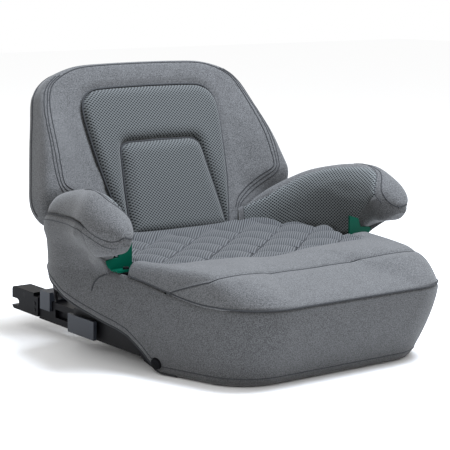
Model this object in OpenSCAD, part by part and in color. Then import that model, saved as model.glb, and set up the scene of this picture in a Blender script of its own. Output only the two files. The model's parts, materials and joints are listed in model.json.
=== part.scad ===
// Low-back booster seat with armrests, belt guides and sliding lower-anchor connectors.
// The seat faces -Y and stands on z = 0; the origin is under the middle of its footprint.

/* [Base] */
// Distance from the origin to the front of the cover at its seam
base_front = 236; // [225:1:250]
// Width of the cover at the front corners, at the seam
base_w = 310; // [302:1:318]
// Widening of each side per millimetre rearwards
side_flare = 0.235; // [0.22:0.005:0.25]
// Plan radius of the front corners
front_r = 60; // [50:1:70]
// Plan radius of the rear corners
rear_r = 68; // [60:1:74]
// Distance from the origin to the rear edge of the shell
base_rear = 112; // [110:1:116]
// Set-back of the bottom edge at the front
toe_front = 36; // [28:1:42]
// Set-back of the bottom edge at the sides
toe_side = 18; // [14:1:22]
// Height of the seam at the front
seam_z = 89; // [87:1:94]
// Height of the seam at the belt guides
throat_z = 110; // [108:1:113]
// Height of the hard deck under the cushions
deck_z = 84; // [80:1:85]
// Wall of the moulded shells
shell_t = 3; // [2.5:0.1:3.5]
// Thickness of the padded skirt
cover_t = 3; // [2:0.1:3.5]
// Gap between soft covers and what they lie on
soft_gap = 0.4; // [0.3:0.1:0.6]
// Thickness of the non-slip mat
mat_t = 2; // [1.5:0.1:3]
// Half width of the bottom tray
tray_half_w = 110; // [100:1:112]
// Diameter of the round buttons that hold the cover
cover_button_d = 14; // [10:1:16]

/* [Seat] */
// Distance from the origin to the front edge of the quilted panel
quilt_front = 86; // [75:1:100]
// Height of the seat surface in the middle
seat_z = 115; // [113:1:118]
// Height of the raised rim beside the thighs
rim_z = 121; // [119:1:124]
// Thickness of the foam slab under the quilted panel
foam_t = 14; // [10:1:16]
// Pitch of the quilting lines
quilt_pitch = 46; // [38:1:56]
// Depth of the quilting channels
quilt_depth = 4; // [2:0.5:5]

/* [Armrests] */
// Distance from the side of the cover to the middle of an armrest
arm_out = 41; // [38:1:44]
// Height of the highest point of an armrest
arm_top = 199.5; // [195:0.5:204]
// Foam thickness over an armrest core
arm_foam = 12; // [10:0.5:13]
// Diameter of the posts that carry an armrest core
post_d = 16; // [12:1:18]
// Height of a belt guide at the seat
guide_h = 30; // [26:0.5:31]
// Wall of a belt guide
guide_t = 2.4; // [2:0.1:2.5]

/* [Backrest] */
// Angle of the backrest from upright
recline = 22; // [18:1:24]
// Height of the backrest along its slope, from the seat
back_h = 222; // [214:1:230]
// Width of the backrest across its wings
back_w = 368; // [362:1:374]
// Width of the backrest at its top corners
back_top_w = 294; // [286:1:302]
// Thickness of the backrest pad
back_t = 26; // [22:1:28]
// How far the wings roll forward
wing_roll = 16; // [8:1:18]
// Width of the mesh surround at its top
mesh_w = 200; // [190:1:206]
// Width of the mesh centre pad at its top
centre_w = 120; // [110:1:128]
// Diameter of the hinge rod
rod_d = 10; // [8:0.5:11]

/* [Anchor connectors] */
// Centre distance of the two connectors
anchor_pitch = 280; // [280]
// Distance from the origin to the tip of a connector
anchor_tip = 236; // [226:1:246]
// Width of a connector arm
arm_bar_w = 20; // [18:0.5:21]
// Height of a connector arm
arm_bar_h = 26; // [24:0.5:27]
// Height of the middle of an arm above the floor, at the rail mouth
arm_bar_z = 28; // [27:0.5:29]
// Upward slope of the arms towards their tips
arm_slope = 1.5; // [0.5:0.5:2.5]
// Height of the jaw for the anchor bar
jaw_h = 9; // [8:0.5:10]
// Depth of the jaw
jaw_depth = 16; // [14:0.5:18]
// Travel of an arm into its rail
arm_travel = 48; // [40:1:48]
// Travel of a release collar
collar_travel = 6; // [4:0.5:7]
// Travel of an adjuster button
button_travel = 3; // [2:0.5:3]
// Wall of a rail
rail_t = 3.2; // [2.6:0.1:3.6]
// Play between an arm and its rail, each side
rail_play = 0.4; // [0.3:0.05:0.6]

/* [Hidden] */
$fn = 48;
pin_play = 0.05;
left = -1;
right = 1;

// Colours of the pieces
melange = [0.40, 0.41, 0.44];
mesh_grey = [0.36, 0.38, 0.39];
hard_grey = [0.22, 0.23, 0.24];
foam_white = [0.85, 0.85, 0.82];
guide_green = [0.02, 0.32, 0.22];
black = [0.05, 0.05, 0.055];
button_grey = [0.42, 0.44, 0.47];
steel = [0.66, 0.67, 0.69];

// Small helpers
function mix(a, b, t) = a + (b - a) * t;
function clamp01(t) = min(1, max(0, t));
function ease(t) = let (c = clamp01(t)) c * c * (3 - 2 * c);
function sum(v) = [for (x = v) 1] * v;
function centre_of(ring) = sum(ring) / len(ring);
function signed_pow(v, p) = sign(v) * pow(abs(v), p);

// Row of a table at a fractional index, on a smooth curve through the rows
function row_at(tab, t) =
  let (n = len(tab), i = min(n - 2, floor(t)), f = t - i)
  let (a = tab[max(0, i - 1)], b = tab[i], c = tab[i + 1], d = tab[min(n - 1, i + 2)])
  0.5 * (2 * b + (c - a) * f + (2 * a - 5 * b + 4 * c - d) * f * f + (3 * b - a - 3 * c + d) * f * f * f);

// Closed solid from points and triangles, turned so that every face looks outwards
module closed_mesh(points, faces) {
  volume = sum([for (f = faces) points[f[0]] * cross(points[f[1]], points[f[2]])]);
  polyhedron(points, volume < 0 ? faces : [for (f = faces) [f[0], f[2], f[1]]], convexity = 10);
}

// Solid skinned over rings of equal length, closed by a fan at each end
module skin(rings) {
  n = len(rings[0]);
  m = len(rings);
  points = concat([for (r = rings) each r], [centre_of(rings[0]), centre_of(rings[m - 1])]);
  walls = [for (i = [0:m - 2], j = [0:n - 1])
    let (k = (j + 1) % n)
    each [[i * n + j, (i + 1) * n + k, i * n + k], [i * n + j, (i + 1) * n + j, (i + 1) * n + k]]];
  caps = [for (j = [0:n - 1])
    let (k = (j + 1) % n)
    each [[j, k, m * n], [(m - 1) * n + k, (m - 1) * n + j, m * n + 1]]];
  closed_mesh(points, concat(walls, caps));
}

// Solid between a grid of top points and a flat floor
module cushion_block(grid, low_grid, floor_z) {
  m = len(grid);
  n = len(grid[0]);
  edge = concat([for (j = [0:n - 1]) [0, j]], [for (i = [1:m - 1]) [i, n - 1]],
    [for (j = [n - 2:-1:0]) [m - 1, j]], [for (i = [m - 2:-1:1]) [i, 0]]);
  top = [for (row = grid) each row];
  low = [for (e = edge) let (p = low_grid[e[0]][e[1]]) [p[0], p[1], floor_z]];
  q = len(edge);
  base = m * n;
  surface = [for (i = [0:m - 2], j = [0:n - 2])
    let (a = i * n + j, b = a + 1, c = a + n, d = c + 1)
    each [[a, d, b], [a, c, d]]];
  walls = [for (e = [0:q - 1])
    let (f = (e + 1) % q, a = edge[e][0] * n + edge[e][1], b = edge[f][0] * n + edge[f][1])
    each [[a, b, base + f], [a, base + f, base + e]]];
  floor_fan = [for (e = [0:q - 1]) [base + e, base + (e + 1) % q, base + q]];
  closed_mesh(concat(top, low, [centre_of(low)]), concat(surface, walls, floor_fan));
}

module rounded_rect(w, l, r) {
  square([w - 2 * r, l], center = true);
  square([w, l - 2 * r], center = true);
  for (x = [-1, 1], y = [-1, 1]) translate([x * (w / 2 - r), y * (l / 2 - r)]) circle(r);
}

module both_sides() {
  children();
  mirror([1, 0, 0]) children();
}

module on_side(side) {
  if (side == right) children();
  else mirror([1, 0, 0]) children();
}

// Plan outline of the base at a level (0 at the floor, 1 at the seam), set in by a distance
level_curve = 1.4;
corner_steps = 9;
side_steps = 12;
side_angle = atan(side_flare);
side_slant = sqrt(1 + side_flare * side_flare);
function toe(level) = pow(1 - clamp01(level), level_curve);
function front_y(level) = -base_front + toe_front * toe(level);
function half_w(level) = base_w / 2 - toe_side * toe(level);
function corner_y(level) = front_y(level) + front_r;
function side_x(level, y) = half_w(level) + side_flare * (y - (-base_front + front_r));
rear_corner_y = base_rear - rear_r;

function right_outline(level, inset, rear_angle) =
  let (fr = front_r - inset, rr = rear_r - inset)
  let (fx = side_x(level, corner_y(level)) - front_r * side_slant, fy = corner_y(level))
  let (rx = side_x(level, rear_corner_y) - rear_r * side_slant, ry = rear_corner_y)
  let (fs = [fx + fr * cos(side_angle), fy - fr * sin(side_angle)])
  let (rs = [rx + rr * cos(side_angle), ry - rr * sin(side_angle)])
  concat(
    [for (i = [1:3]) [fx * i / 4, fy - fr]],
    [for (i = [0:corner_steps]) let (a = mix(-90, -side_angle, i / corner_steps))
      [fx + fr * cos(a), fy + fr * sin(a)]],
    [for (i = [1:side_steps - 1]) mix(fs, rs, i / side_steps)],
    [for (i = [0:corner_steps]) let (a = mix(-side_angle, rear_angle, i / corner_steps))
      [rx + rr * cos(a), ry + rr * sin(a)]]);
function mirrored(points) = [for (i = [len(points) - 1:-1:0]) [-points[i][0], points[i][1]]];
function open_outline(level, inset, rear_angle) =
  let (r = right_outline(level, inset, rear_angle))
  concat(mirrored(r), [[0, front_y(level) + inset]], r);
function closed_outline(level, inset) =
  concat(open_outline(level, inset, 90), [for (i = [1:-1:-1]) [i * base_w / 8, base_rear - inset]]);
function at_height(points, z) = [for (p = points) [p[0], p[1], z]];

// Edge of the side cut-out over the rails: height of the cover's lower edge along the side
throat_y = -35;
hem_z = mat_t * 0.5;
arch = [[-89, hem_z], [-82, 5], [-75, 15], [-69, 23], [-61, 31], [-52, 39], [-38, 45], [-20, 50],
  [14, 62],
  [34, 71], [50, 81], [80, 92], [130, 96]];
function hem(p) = abs(p[0]) < base_w / 4 ? hem_z : lookup(p[1], arch);
function seam(p) = mix(seam_z, throat_z,
  ease((p[1] + base_front - front_r) / (throat_y + base_front - front_r)));

// Skirt of the cover, open at the rear
skirt_rear_angle = 55;
skirt_levels = [0, 0.2, 0.5, 0.8, 1];
module skirt_cover() color(melange) {
  outer = [for (v = skirt_levels) open_outline(v, 0, skirt_rear_angle)];
  inner = [for (v = skirt_levels) open_outline(v, cover_t, skirt_rear_angle)];
  top = len(skirt_levels) - 1;
  difference() {
    skin([for (j = [0:len(outer[0]) - 1])
      let (low = hem(outer[0][j]), high = seam(outer[top][j]))
      concat(
        [for (k = [0:top]) skirt_point(outer, j, k, low, high)],
        [for (k = [top:-1:0]) skirt_point(inner, j, k, low, high)])]);
    cover_button_hole(soft_gap);
  }
}
// Point of the skirt at a share of its local height, read from the outline of that level
function skirt_point(rows, j, k, low, high) =
  let (z = mix(low, high, skirt_levels[k]))
  let (p = level_point(rows, j, clamp01(z / seam_z)))
  [p[0], p[1], z];
function level_point(rows, j, v) =
  let (k = min(len(skirt_levels) - 2, max([for (i = [0:len(skirt_levels) - 1]) skirt_levels[i] <= v ?
    i : 0])))
  mix(rows[k][j], rows[k + 1][j], (v - skirt_levels[k]) / (skirt_levels[k + 1] - skirt_levels[k]));

// Hard shell: a deck with walls that reach down to the side cut-outs
shell_inset = cover_t + 2 * soft_gap;
shell_lift = 3;
deck_level = deck_z / seam_z;
shell_rear_z = 57;
shell_least = 8;
function shell_low(p) =
  p[1] > rear_corner_y + rear_r / 2 ? shell_rear_z : min(deck_z - shell_least, hem(p) + shell_lift);
function shell_wall(inset, bottom) =
  let (high = closed_outline(deck_level, inset))
  [for (j = [0:len(high) - 1])
    let (z = bottom ? shell_low(high[j]) : deck_z, p = closed_outline(z / seam_z, inset)[j])
    [p[0], p[1], z]];
boss_r = 6;
screw_r = 2;
screw_head_r = 3.6;
screw_head_h = 2.4;
function tray_screw_at(i) = [(i % 2 == 0 ? -1 : 1) * (tray_half_w - 14), i < 2 ? tray_front + 14 :
  tray_rear - 14];
module base_shell() color(hard_grey) difference() {
  union() {
    skin([shell_wall(shell_inset, false), shell_wall(shell_inset, true),
      shell_wall(shell_inset + shell_t, true),
      [for (p = shell_wall(shell_inset + shell_t, false)) [p[0], p[1], deck_z - shell_t]]]);
    both_sides() {
      translate([guide_screw_x, guide_screw_y, deck_z - 1])
        cylinder(h = guide_foot_z - deck_z + 1, r = boss_r);
      for (i = [0, 1]) translate([rail_screw_x, rail_screw_y[i], rail_boss_z[i]])
        cylinder(h = deck_z - 1 - rail_boss_z[i], r = boss_r);
    }
  }
  cover_button_hole(pin_play);
  both_sides() {
    translate([guide_screw_x, guide_screw_y, deck_z - shell_t - 1]) cylinder(h = 60, r = screw_r);
    for (q = post_spots) translate([q[0], q[1], deck_z - shell_t - 1])
      cylinder(h = shell_t + 2, r = post_d / 2 + pin_play);
    for (q = rail_screw_y) translate([rail_screw_x, q, 0])
      cylinder(h = deck_z - shell_t - 4, r = screw_r);
    translate([bracket_x + bracket_t / 2, bracket_screw_y, deck_z - shell_t - 1])
      cylinder(h = shell_t + 2, r = screw_r);
  }
}

// Bottom tray: closes the shell from below and stands on the mat
tray_front = -150;
tray_rear = 86;
tray_t = 3;
tray_r = 12;
tray_boss_r = 6;
tray_top = deck_z - shell_t;
module tray_plan(inset) {
  translate([0, (tray_front + tray_rear) / 2])
    rounded_rect(2 * (tray_half_w - inset), tray_rear - tray_front - 2 * inset, tray_r - inset);
}
module bottom_tray() color(hard_grey) difference() {
  union() {
    difference() {
      translate([0, 0, mat_t]) linear_extrude(tray_top - mat_t) tray_plan(0);
      translate([0, 0, mat_t + tray_t]) linear_extrude(tray_top) tray_plan(tray_t);
    }
    for (i = [0:3]) translate([tray_screw_at(i)[0], tray_screw_at(i)[1], mat_t])
      cylinder(h = tray_top - mat_t, r = tray_boss_r);
  }
  for (i = [0:3]) translate([tray_screw_at(i)[0], tray_screw_at(i)[1], 0]) {
    cylinder(h = tray_top + 1, r = screw_r + 0.3);
    cylinder(h = tray_screw_z + screw_head_h, r = screw_head_r + 0.4);
  }
}
mat_margin = 12;
module non_slip_mat() color(black) difference() {
  linear_extrude(mat_t) tray_plan(mat_margin);
  for (i = [0:3]) translate([tray_screw_at(i)[0], tray_screw_at(i)[1], -1])
    cylinder(h = mat_t + 2, r = tray_boss_r + 1);
}

// Screw with a flat head, pointing up from its head's underside
module screw(length) {
  cylinder(h = length, r = screw_r - 0.05);
  translate([0, 0, -screw_head_h]) difference() {
    cylinder(h = screw_head_h, r = screw_head_r);
    translate([0, 0, -1]) cylinder(h = 2, r = 1.6, $fn = 6);
  }
}
tray_screw_z = mat_t + tray_t;
module tray_screws() color(steel) for (i = [0:3])
  translate([tray_screw_at(i)[0], tray_screw_at(i)[1], tray_screw_z + screw_head_h])
    screw(deck_z - shell_t - tray_screw_z - screw_head_h - 0.2);

// Round buttons that pin the cover to the shell, low on the sides
button_y = -88;
button_z = 13.5;
button_level = button_z / seam_z;
button_lean = 14;
button_lift = 0.7;
button_t = 2.2;
button_stem_r = 3;
button_stem_l = 11;
module at_cover_button() translate([side_x(button_level, button_y), button_y, button_z])
  rotate([0, 90 + button_lean, -side_angle]) children();
module cover_button_hole(gap) both_sides() at_cover_button()
  translate([0, 0, -button_stem_l - 4]) cylinder(h = button_stem_l + 10, r = button_stem_r + gap);
module cover_buttons() color(black) both_sides() at_cover_button() {
  translate([0, 0, button_lift])
    cylinder(h = button_t, r1 = cover_button_d / 2, r2 = cover_button_d / 2 - 1);
  translate([0, 0, -button_stem_l]) cylinder(h = button_stem_l + button_lift + 1, r = button_stem_r);
}

// Seat pads: radial lines run from the seam outline to the edge of the quilted panel
pad_inset = cover_t + 3 * soft_gap;
pad_floor = deck_z + soft_gap;
quilt_margin = 5;
quilt_half_w = base_w / 2 - quilt_margin;
quilt_corner = 20;
panel_gap = 1;
guide_front = -52;
guide_back = -38;
function seat_line() = [for (p = open_outline(1, pad_inset, 0)) if (p[1] < guide_front - panel_gap) p];
// Edge of the quilted panel from the middle of its front to the side, for a share from 0 to 1
front_share = 0.55;
arc_share = 0.9;
function quilt_edge_right(f) =
  let (r = quilt_corner + panel_gap, cx = quilt_half_w - quilt_corner, cy = -quilt_front + quilt_corner)
  f < front_share ? [cx * f / front_share, cy - r] :
  f < arc_share ? let (a = mix(-90, 0, (f - front_share) / (arc_share - front_share)))
    [cx + r * cos(a), cy + r * sin(a)] :
  [cx + r, mix(cy, guide_front - panel_gap, (f - arc_share) / (1 - arc_share))];
function quilt_edge(i, n) =
  let (c = (n - 1) / 2, q = quilt_edge_right(abs(i - c) / c))
  [i < c ? -q[0] : q[0], q[1]];
function side_share(p) = ease(abs(p[0]) / (base_w / 2));
front_power = 1.8;
side_power = 7;
function pad_power(p) = mix(front_power, side_power, ease((abs(p[0]) - base_w / 4) / (base_w / 4)));
function pad_z(p, r) = mix(seam(p), mix(seat_z, rim_z, side_share(p)), 1 - pow(1 - r, pad_power(p)));
// Share of a radial line that the front bolster takes, falling off towards the corners
bolster_share = 0.52;
bolster_least = 0.1;
function bolster_end(i, n) = bolster_least + bolster_share * pow(max(0,
  sin(180 * clamp01(i / (n - 1)))), 0.6);
function pad_point(o, q, r) = let (p = mix(o, q, r)) [p[0], p[1], pad_z(o, r)];
pad_steps = 6;
function pad_ring(o, q, r0, r1) = concat(
  [for (k = [0:pad_steps]) pad_point(o, q, mix(r0, r1, k / pad_steps))],
  [let (p = mix(o, q, r1)) [p[0], p[1], pad_floor], let (p = mix(o, q, r0)) [p[0], p[1], pad_floor]]);
bolster_first = 5;
module front_bolster() color(melange) {
  rim = seat_line();
  n = len(rim);
  skin([for (i = [bolster_first:n - 1 - bolster_first])
    pad_ring(rim[i], quilt_edge(i, n), 0, bolster_end(i - bolster_first, n - 2 * bolster_first))]);
}
module seat_surround() color(melange) {
  rim = seat_line();
  n = len(rim);
  skin([for (i = [0:n - 1])
    let (q = quilt_edge(i, n), front = i >= bolster_first && i <= n - 1 - bolster_first)
    let (r0 = bolster_end(i - bolster_first, n - 2 * bolster_first) + soft_gap / norm(q - rim[i]))
    pad_ring(rim[i], q, front ? r0 : 0, 1)]);
}

// Armrest: stations along a plan path from the nose to the inner rear end
// Columns: x, y, bottom inner, bottom outer, middle inner, middle outer, bottom z, middle z, top z
arm_seat_z = throat_z + 0.5;
arm_x = base_w / 2 + arm_out;
arm_rows = [
  [arm_x + 7, -91, -7, 2.5, -10, 4, arm_seat_z + 37, 160, arm_top - 36.5],
  [arm_x + 8, -85.5, -14, 5, -18.5, 8.5, arm_seat_z + 32, 160, arm_top - 33],
  [arm_x + 11, -73, -23, 7, -30, 14, arm_seat_z + 23, 159, arm_top - 19],
  [arm_x + 14, -53, -27, 11, -35, 20.5, arm_seat_z + 21, 155, arm_top - 8.5],
  [arm_x + 10, -42.5, -21, 6, -28, 24, arm_seat_z + 21.5, 154, arm_top - 2],
  [arm_x + 6, -34, -20, -1, -26, 23.5, arm_seat_z + 21, 153, arm_top],
  [arm_x + 4.5, -29.5, -21, -2, -25.5, 23, arm_seat_z, 153, arm_top],
  [arm_x - 3.5, 0, -20, 5, -22, 21, arm_seat_z, 152, arm_top - 1.5],
  [arm_x - 12, 30, -20, 18, -21, 27, arm_seat_z, 150, arm_top - 7],
  [arm_x - 24, 58, -20, 31, -20, 36, arm_seat_z, 146, arm_top - 14.5],
  [arm_x - 42, 77, -17, 30, -17, 24, arm_seat_z + 0.5, 134, arm_top - 27.5],
  [arm_x - 66, 88, -9, 18, -10, 8, arm_seat_z + 2, 130, arm_top - 39.5],
  [arm_x - 86, 89.5, -6, 3, -6, 3, arm_seat_z + 10.5, 129, arm_top - 50.5],
  [arm_x - 106, 87.5, -4, 2, -4, 2, arm_seat_z + 13, 129, arm_top - 58.5]];
arm_last = len(arm_rows) - 1;
arm_ring_n = 20;
box_power = 0.36;
crown_power = 0.9;
function arm_heading(t) =
  let (a = row_at(arm_rows, max(0, t - 0.1)), b = row_at(arm_rows, min(arm_last, t + 0.1)))
  let (d = [b[0] - a[0], b[1] - a[1]])
  d / norm(d);
// The underside of the nose rises towards the seat near the belt guide
bottom_tilt = [[3, 0], [4, 5.5], [5, 7], [5.6, 0]];
function arm_bottom(t) = let (i = min(arm_last - 1, floor(t)))
  mix(arm_rows[i][6], arm_rows[i + 1][6], t - i);
function arm_ring(t) =
  let (r = row_at(arm_rows, t), d = arm_heading(t), out = [d[1], -d[0]])
  let (zm = r[7], zb = arm_bottom(t), zt = r[8])
  let (mid = (r[4] + r[5]) / 2, half = (r[5] - r[4]) / 2)
  let (low_mid = (r[2] + r[3]) / 2, low_half = (r[3] - r[2]) / 2)
  [for (i = [0:arm_ring_n - 1])
    let (a = 360 * (i + 0.5) / arm_ring_n, c = cos(a), s = sin(a))
    let (v = s < 0 ? pow(-s, box_power) : 0)
    let (n = mix(mid, low_mid, v) + mix(half, low_half, v) * signed_pow(c, s < 0 ? box_power :
      crown_power))
    let (fall = zm - zb + lookup(t, bottom_tilt) * signed_pow(c, box_power))
    let (z = s < 0 ? zm - fall * v : zm + (zt - zm) * pow(s, crown_power))
    [r[0] + out[0] * n, r[1] + out[1] * n, z]];
arm_stops = [0, 0.35, 0.8, 1.4, 2, 2.6, 3.3, 4, 4.6, 5, 6, 6.5, 7, 7.5, 8, 8.5, 9, 9.5, 10, 10.5, 11,
  11.6, 12.3, arm_last];
// Hard core inside: a bar along the path on two posts
core_stops = [3.6, 4.3, 5, 6, 7, 7.7, 8.4, 9];
core_half_t = 6;
core_low = arm_seat_z + 17.5 + arm_foam;
core_high = arm_top - 15 - arm_foam;
function core_side(t, n) =
  let (r = row_at(arm_rows, t), d = arm_heading(t), m = (r[4] + r[5]) / 2 + n)
  [r[0] + d[1] * m, r[1] - d[0] * m];
core_last = len(core_stops) - 1;
core_end_share = 0.06;
function core_stop(i, gap) = core_stops[i] + core_end_share * gap * (i == 0 ? -1 : i == core_last ? 1 :
  0);
module core_plan(gap) polygon(concat([for (i = [0:core_last])
  core_side(core_stop(i, gap), core_half_t + gap)],
  [for (i = [core_last:-1:0]) core_side(core_stop(i, gap), -core_half_t - gap)]));
module core_bar(gap) translate([0, 0, core_low - gap]) linear_extrude(core_high - core_low + 2 * gap)
  core_plan(gap);
post_rows = [7.3, 8.7];
post_spots = [for (t = post_rows) let (r = row_at(arm_rows, t))
  core_side(t, (r[2] + r[3] - r[4] - r[5]) / 2)];
post_foot_z = deck_z - shell_t;
post_screw_l = 18;
module armrest_cover(side) color(melange) on_side(side) difference() {
  skin([for (t = arm_stops) arm_ring(t)]);
  core_bar(soft_gap);
  for (q = post_spots) translate([q[0], q[1], arm_seat_z - 9])
    cylinder(h = core_low - arm_seat_z + 11, r = post_d / 2 + soft_gap);
}
module armrest_core(side) color(foam_white) on_side(side) difference() {
  union() {
    core_bar(0);
    for (q = post_spots) translate([q[0], q[1], post_foot_z])
      cylinder(h = core_low + 1 - post_foot_z, r = post_d / 2);
  }
  for (q = post_spots) translate([q[0], q[1], post_foot_z - 1])
    cylinder(h = post_screw_l + 2, r = screw_r);
}
module core_screws() color(steel) both_sides() for (q = post_spots) translate([q[0], q[1], post_foot_z])
  screw(post_screw_l);

// Belt guide: a foot on the deck and an upright web across the throat under the armrest
guide_margin = 5;
guide_w = 37;
guide_in = base_w / 2 + guide_margin;
guide_out = guide_in + guide_w;
guide_foot_z = throat_z + soft_gap;
guide_r = 2.5;
guide_screw_x = guide_in + 13;
guide_screw_y = guide_front + 4.5;
guide_screw_l = 14;
// Upright outline: share of the width, share of the height
guide_foot_share = 0.7;
guide_top = [[0, 1], [0.38, 0.85], [0.49, 0.48], [0.81, 0.46], [1, 0.39], [guide_foot_share, 0]];
module guide_section() {
  square([guide_back - guide_front, guide_t]);
  translate([guide_back - guide_front - guide_t, 0]) square([guide_t, guide_h]);
  difference() {
    translate([guide_back - guide_front - guide_r, 0]) square(guide_r);
    translate([guide_back - guide_front - guide_t - guide_r, guide_t + guide_r]) circle(guide_r);
  }
}
module belt_guide(side) color(guide_green) on_side(side) difference() {
  intersection() {
    translate([guide_in, guide_front, guide_foot_z]) rotate([90, 0, 90])
      linear_extrude(guide_out - guide_in) guide_section();
    translate([guide_in, guide_back + 1, guide_foot_z]) rotate([90, 0, 0])
      linear_extrude(guide_back - guide_front + 2)
      polygon(concat([[0, -1]], [for (q = guide_top) [q[0] * (guide_out - guide_in), q[1] * guide_h]],
        [[guide_foot_share * (guide_out - guide_in), -1]]));
  }
  translate([guide_screw_x, guide_screw_y, guide_foot_z - 1])
    cylinder(h = guide_t + 2, r = screw_r + pin_play);
}
module guide_screws() color(steel) both_sides()
  translate([guide_screw_x, guide_screw_y, guide_foot_z + guide_t]) rotate([180, 0, 0])
    screw(guide_screw_l);

// Seat foam and quilted panel, between the armrests and in front of the backrest
back_y = 90;
back_z = 119;
back_gap = 2.5;
function back_front_y(z) = back_y + (z - back_z) * tan(recline);
quilt_cols = 30;
quilt_rows = 28;
arm_foot = [[-19, -25.5], [0, -27], [24, -32], [47, -42], [65, -54], [79, -70], [84, -86], [90, -102]];
function quilt_half(y) =
  min(quilt_half_w + side_flare * max(0, y + quilt_front - quilt_corner),
    arm_x + lookup(y, arm_foot)) - panel_gap;
seat_rear_z = seat_z + 3;
quilt_rear_top = back_front_y(seat_rear_z) - back_gap;
quilt_rear_low = back_front_y(pad_floor) - back_gap;
function quilt_front_y(x) =
  let (e = max(0, abs(x) - (quilt_half_w - quilt_corner)))
  -quilt_front + quilt_corner - sqrt(max(0, quilt_corner * quilt_corner - e * e));
function quilt_bump(x, y) =
  let (a = (x + y) / quilt_pitch * 180, b = (x - y) / quilt_pitch * 180)
  quilt_depth * (pow(abs(sin(a) * sin(b)), 0.5) - 1);
function quilt_point(u, v, rear) =
  let (x = u * quilt_half(mix(-quilt_front, quilt_rear_top, v)), y = mix(quilt_front_y(x), rear, v))
  let (z = mix(seat_z, rim_z, 0.7 * pow(abs(u), 3)) + (seat_rear_z - seat_z) * ease(v) + quilt_bump(x, y))
  [x, y, z];
quilt_floor = pad_floor + foam_t + soft_gap;
quilt_floor_rear = back_front_y(quilt_floor) - back_gap;
function quilt_grid(rear) = [for (i = [0:quilt_rows]) [for (j = [0:quilt_cols])
  quilt_point(2 * j / quilt_cols - 1, i / quilt_rows, rear)]];
module seat_quilt() color(mesh_grey)
  cushion_block(quilt_grid(quilt_rear_top), quilt_grid(quilt_floor_rear), quilt_floor);
module seat_foam() color(foam_white) translate([0, 0, pad_floor]) linear_extrude(foam_t)
  polygon([for (side = [1, -1], i = [0:quilt_rows])
    let (p = quilt_point(side, side > 0 ? i / quilt_rows : 1 - i / quilt_rows, quilt_rear_low))
      [p[0], p[1]]]);

// Backrest, drawn in its own plane: x across, h up the slope, w forward of the front face
module back_frame() translate([0, back_y, back_z]) rotate([-recline, 0, 0]) children();
neck_half = 88;
neck_low = -6;
wing_h = 64;
wing_low = 51;
back_mid = 100;
back_half = [
  [0, back_h], [0.17 * back_top_w, back_h - 0.5], [0.31 * back_top_w, back_h - 2.5],
    [0.41 * back_top_w, back_h - 10],
  [0.468 * back_top_w, back_h - 19], [back_top_w / 2, back_h - 29],
  [mix(back_top_w, back_w, 0.18) / 2, mix(back_h, wing_h, 0.26)],
  [mix(back_top_w, back_w, 0.365) / 2, mix(back_h, wing_h, 0.42)],
  [mix(back_top_w, back_w, 0.58) / 2, mix(back_h, wing_h, 0.6)],
  [mix(back_top_w, back_w, 0.85) / 2, mix(back_h, wing_h, 0.85)],
  [back_w / 2, wing_h], [back_w / 2, wing_low], [back_w / 2 - 5, wing_low - 12],
    [back_w / 2 - 14, wing_low - 20],
  [back_w / 2 - 34, wing_low - 23], [neck_half + 34, wing_low - 25], [neck_half + 16, wing_low - 31],
  [neck_half + 6, wing_low - 41], [neck_half, 0], [neck_half, neck_low]];
function back_outline() = concat(back_half, [[0, neck_low]],
  [for (i = [len(back_half) - 1:-1:1]) [-back_half[i][0], back_half[i][1]]]);
function back_place(p, w) = [p[0], -w, p[1]];
wing_tuck = 8;
function wing_front(p) =
  let (out = ease((abs(p[0]) - mesh_w / 2) / 62), up = ease((p[1] - 20) / 50))
  out * (wing_roll * up * (1 - ease((p[1] - 100) / 100)) - wing_tuck * (1 - up));
function scaled(points, s) = [for (p = points) [p[0] * s, mix(back_mid, p[1], s)]];
function back_ring(s, w, roll) = [for (p = scaled(back_outline(), s))
  back_place(p, w + roll * wing_front(p))];
back_screw_spots = [[-60, 60], [60, 60], [-80, 165], [80, 165]];
back_screw_l = 14;
module back_pad() color(melange) back_frame() difference() {
  skin([back_ring(0.6, -back_t, 0), back_ring(0.975, -back_t, 0), back_ring(1, -back_t + 6, 0.15),
    back_ring(1, -8, 0.6), back_ring(0.99, -3, 0.9), back_ring(0.965, -0.5, 1), back_ring(0.92, 0, 1),
    back_ring(0.76, 0, 1), back_ring(0.62, 0, 1),
    back_ring(mesh_w / back_w, 0, 0)]);
  for (q = back_screw_spots) translate([q[0], back_t + 1, q[1]]) rotate([90, 0, 0])
    cylinder(h = back_screw_l, r = screw_r);
}

// Mesh pads: outlines by height, from the bottom up and over the top
// Columns: outer half width, outer height, inner half width, inner height
pad_low = 3;
mesh_top = 188;
centre_top = 118;
mesh_rows = [
  [mesh_w / 2 - 25, pad_low, centre_w / 2 + 10, pad_low], [mesh_w / 2 - 18, 30, centre_w / 2 + 9, 26],
  [mesh_w / 2 - 10, 65, centre_w / 2 + 6, 56], [mesh_w / 2 - 3, 115, centre_w / 2 + 2, 88],
  [mesh_w / 2, 155, centre_w / 2, 104], [mesh_w / 2 - 4, 174, centre_w / 2 - 4, 113],
  [mesh_w / 2 - 17, 185, centre_w / 2 - 14, 117.5],
    [mesh_w / 2 - 40, mesh_top, centre_w / 2 - 32, centre_top],
  [0, mesh_top + 1, 0, centre_top + 0.5]];
mesh_last = len(mesh_rows) - 1;
mesh_stops = [for (i = [0:2 * mesh_last]) i / 2];
mesh_full = concat([for (t = mesh_stops) [row_at(mesh_rows, t), 1]],
  [for (i = [len(mesh_stops) - 2:-1:0]) [row_at(mesh_rows, mesh_stops[i]), -1]]);
mesh_crown = 7;
mesh_edge = 3;
channel = 1.5;
back_skin_gap = 0.6;
function band_point(r, side, k, w) = back_place([side * mix(r[2], r[0], k), mix(r[3], r[1], k)], w);
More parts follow.
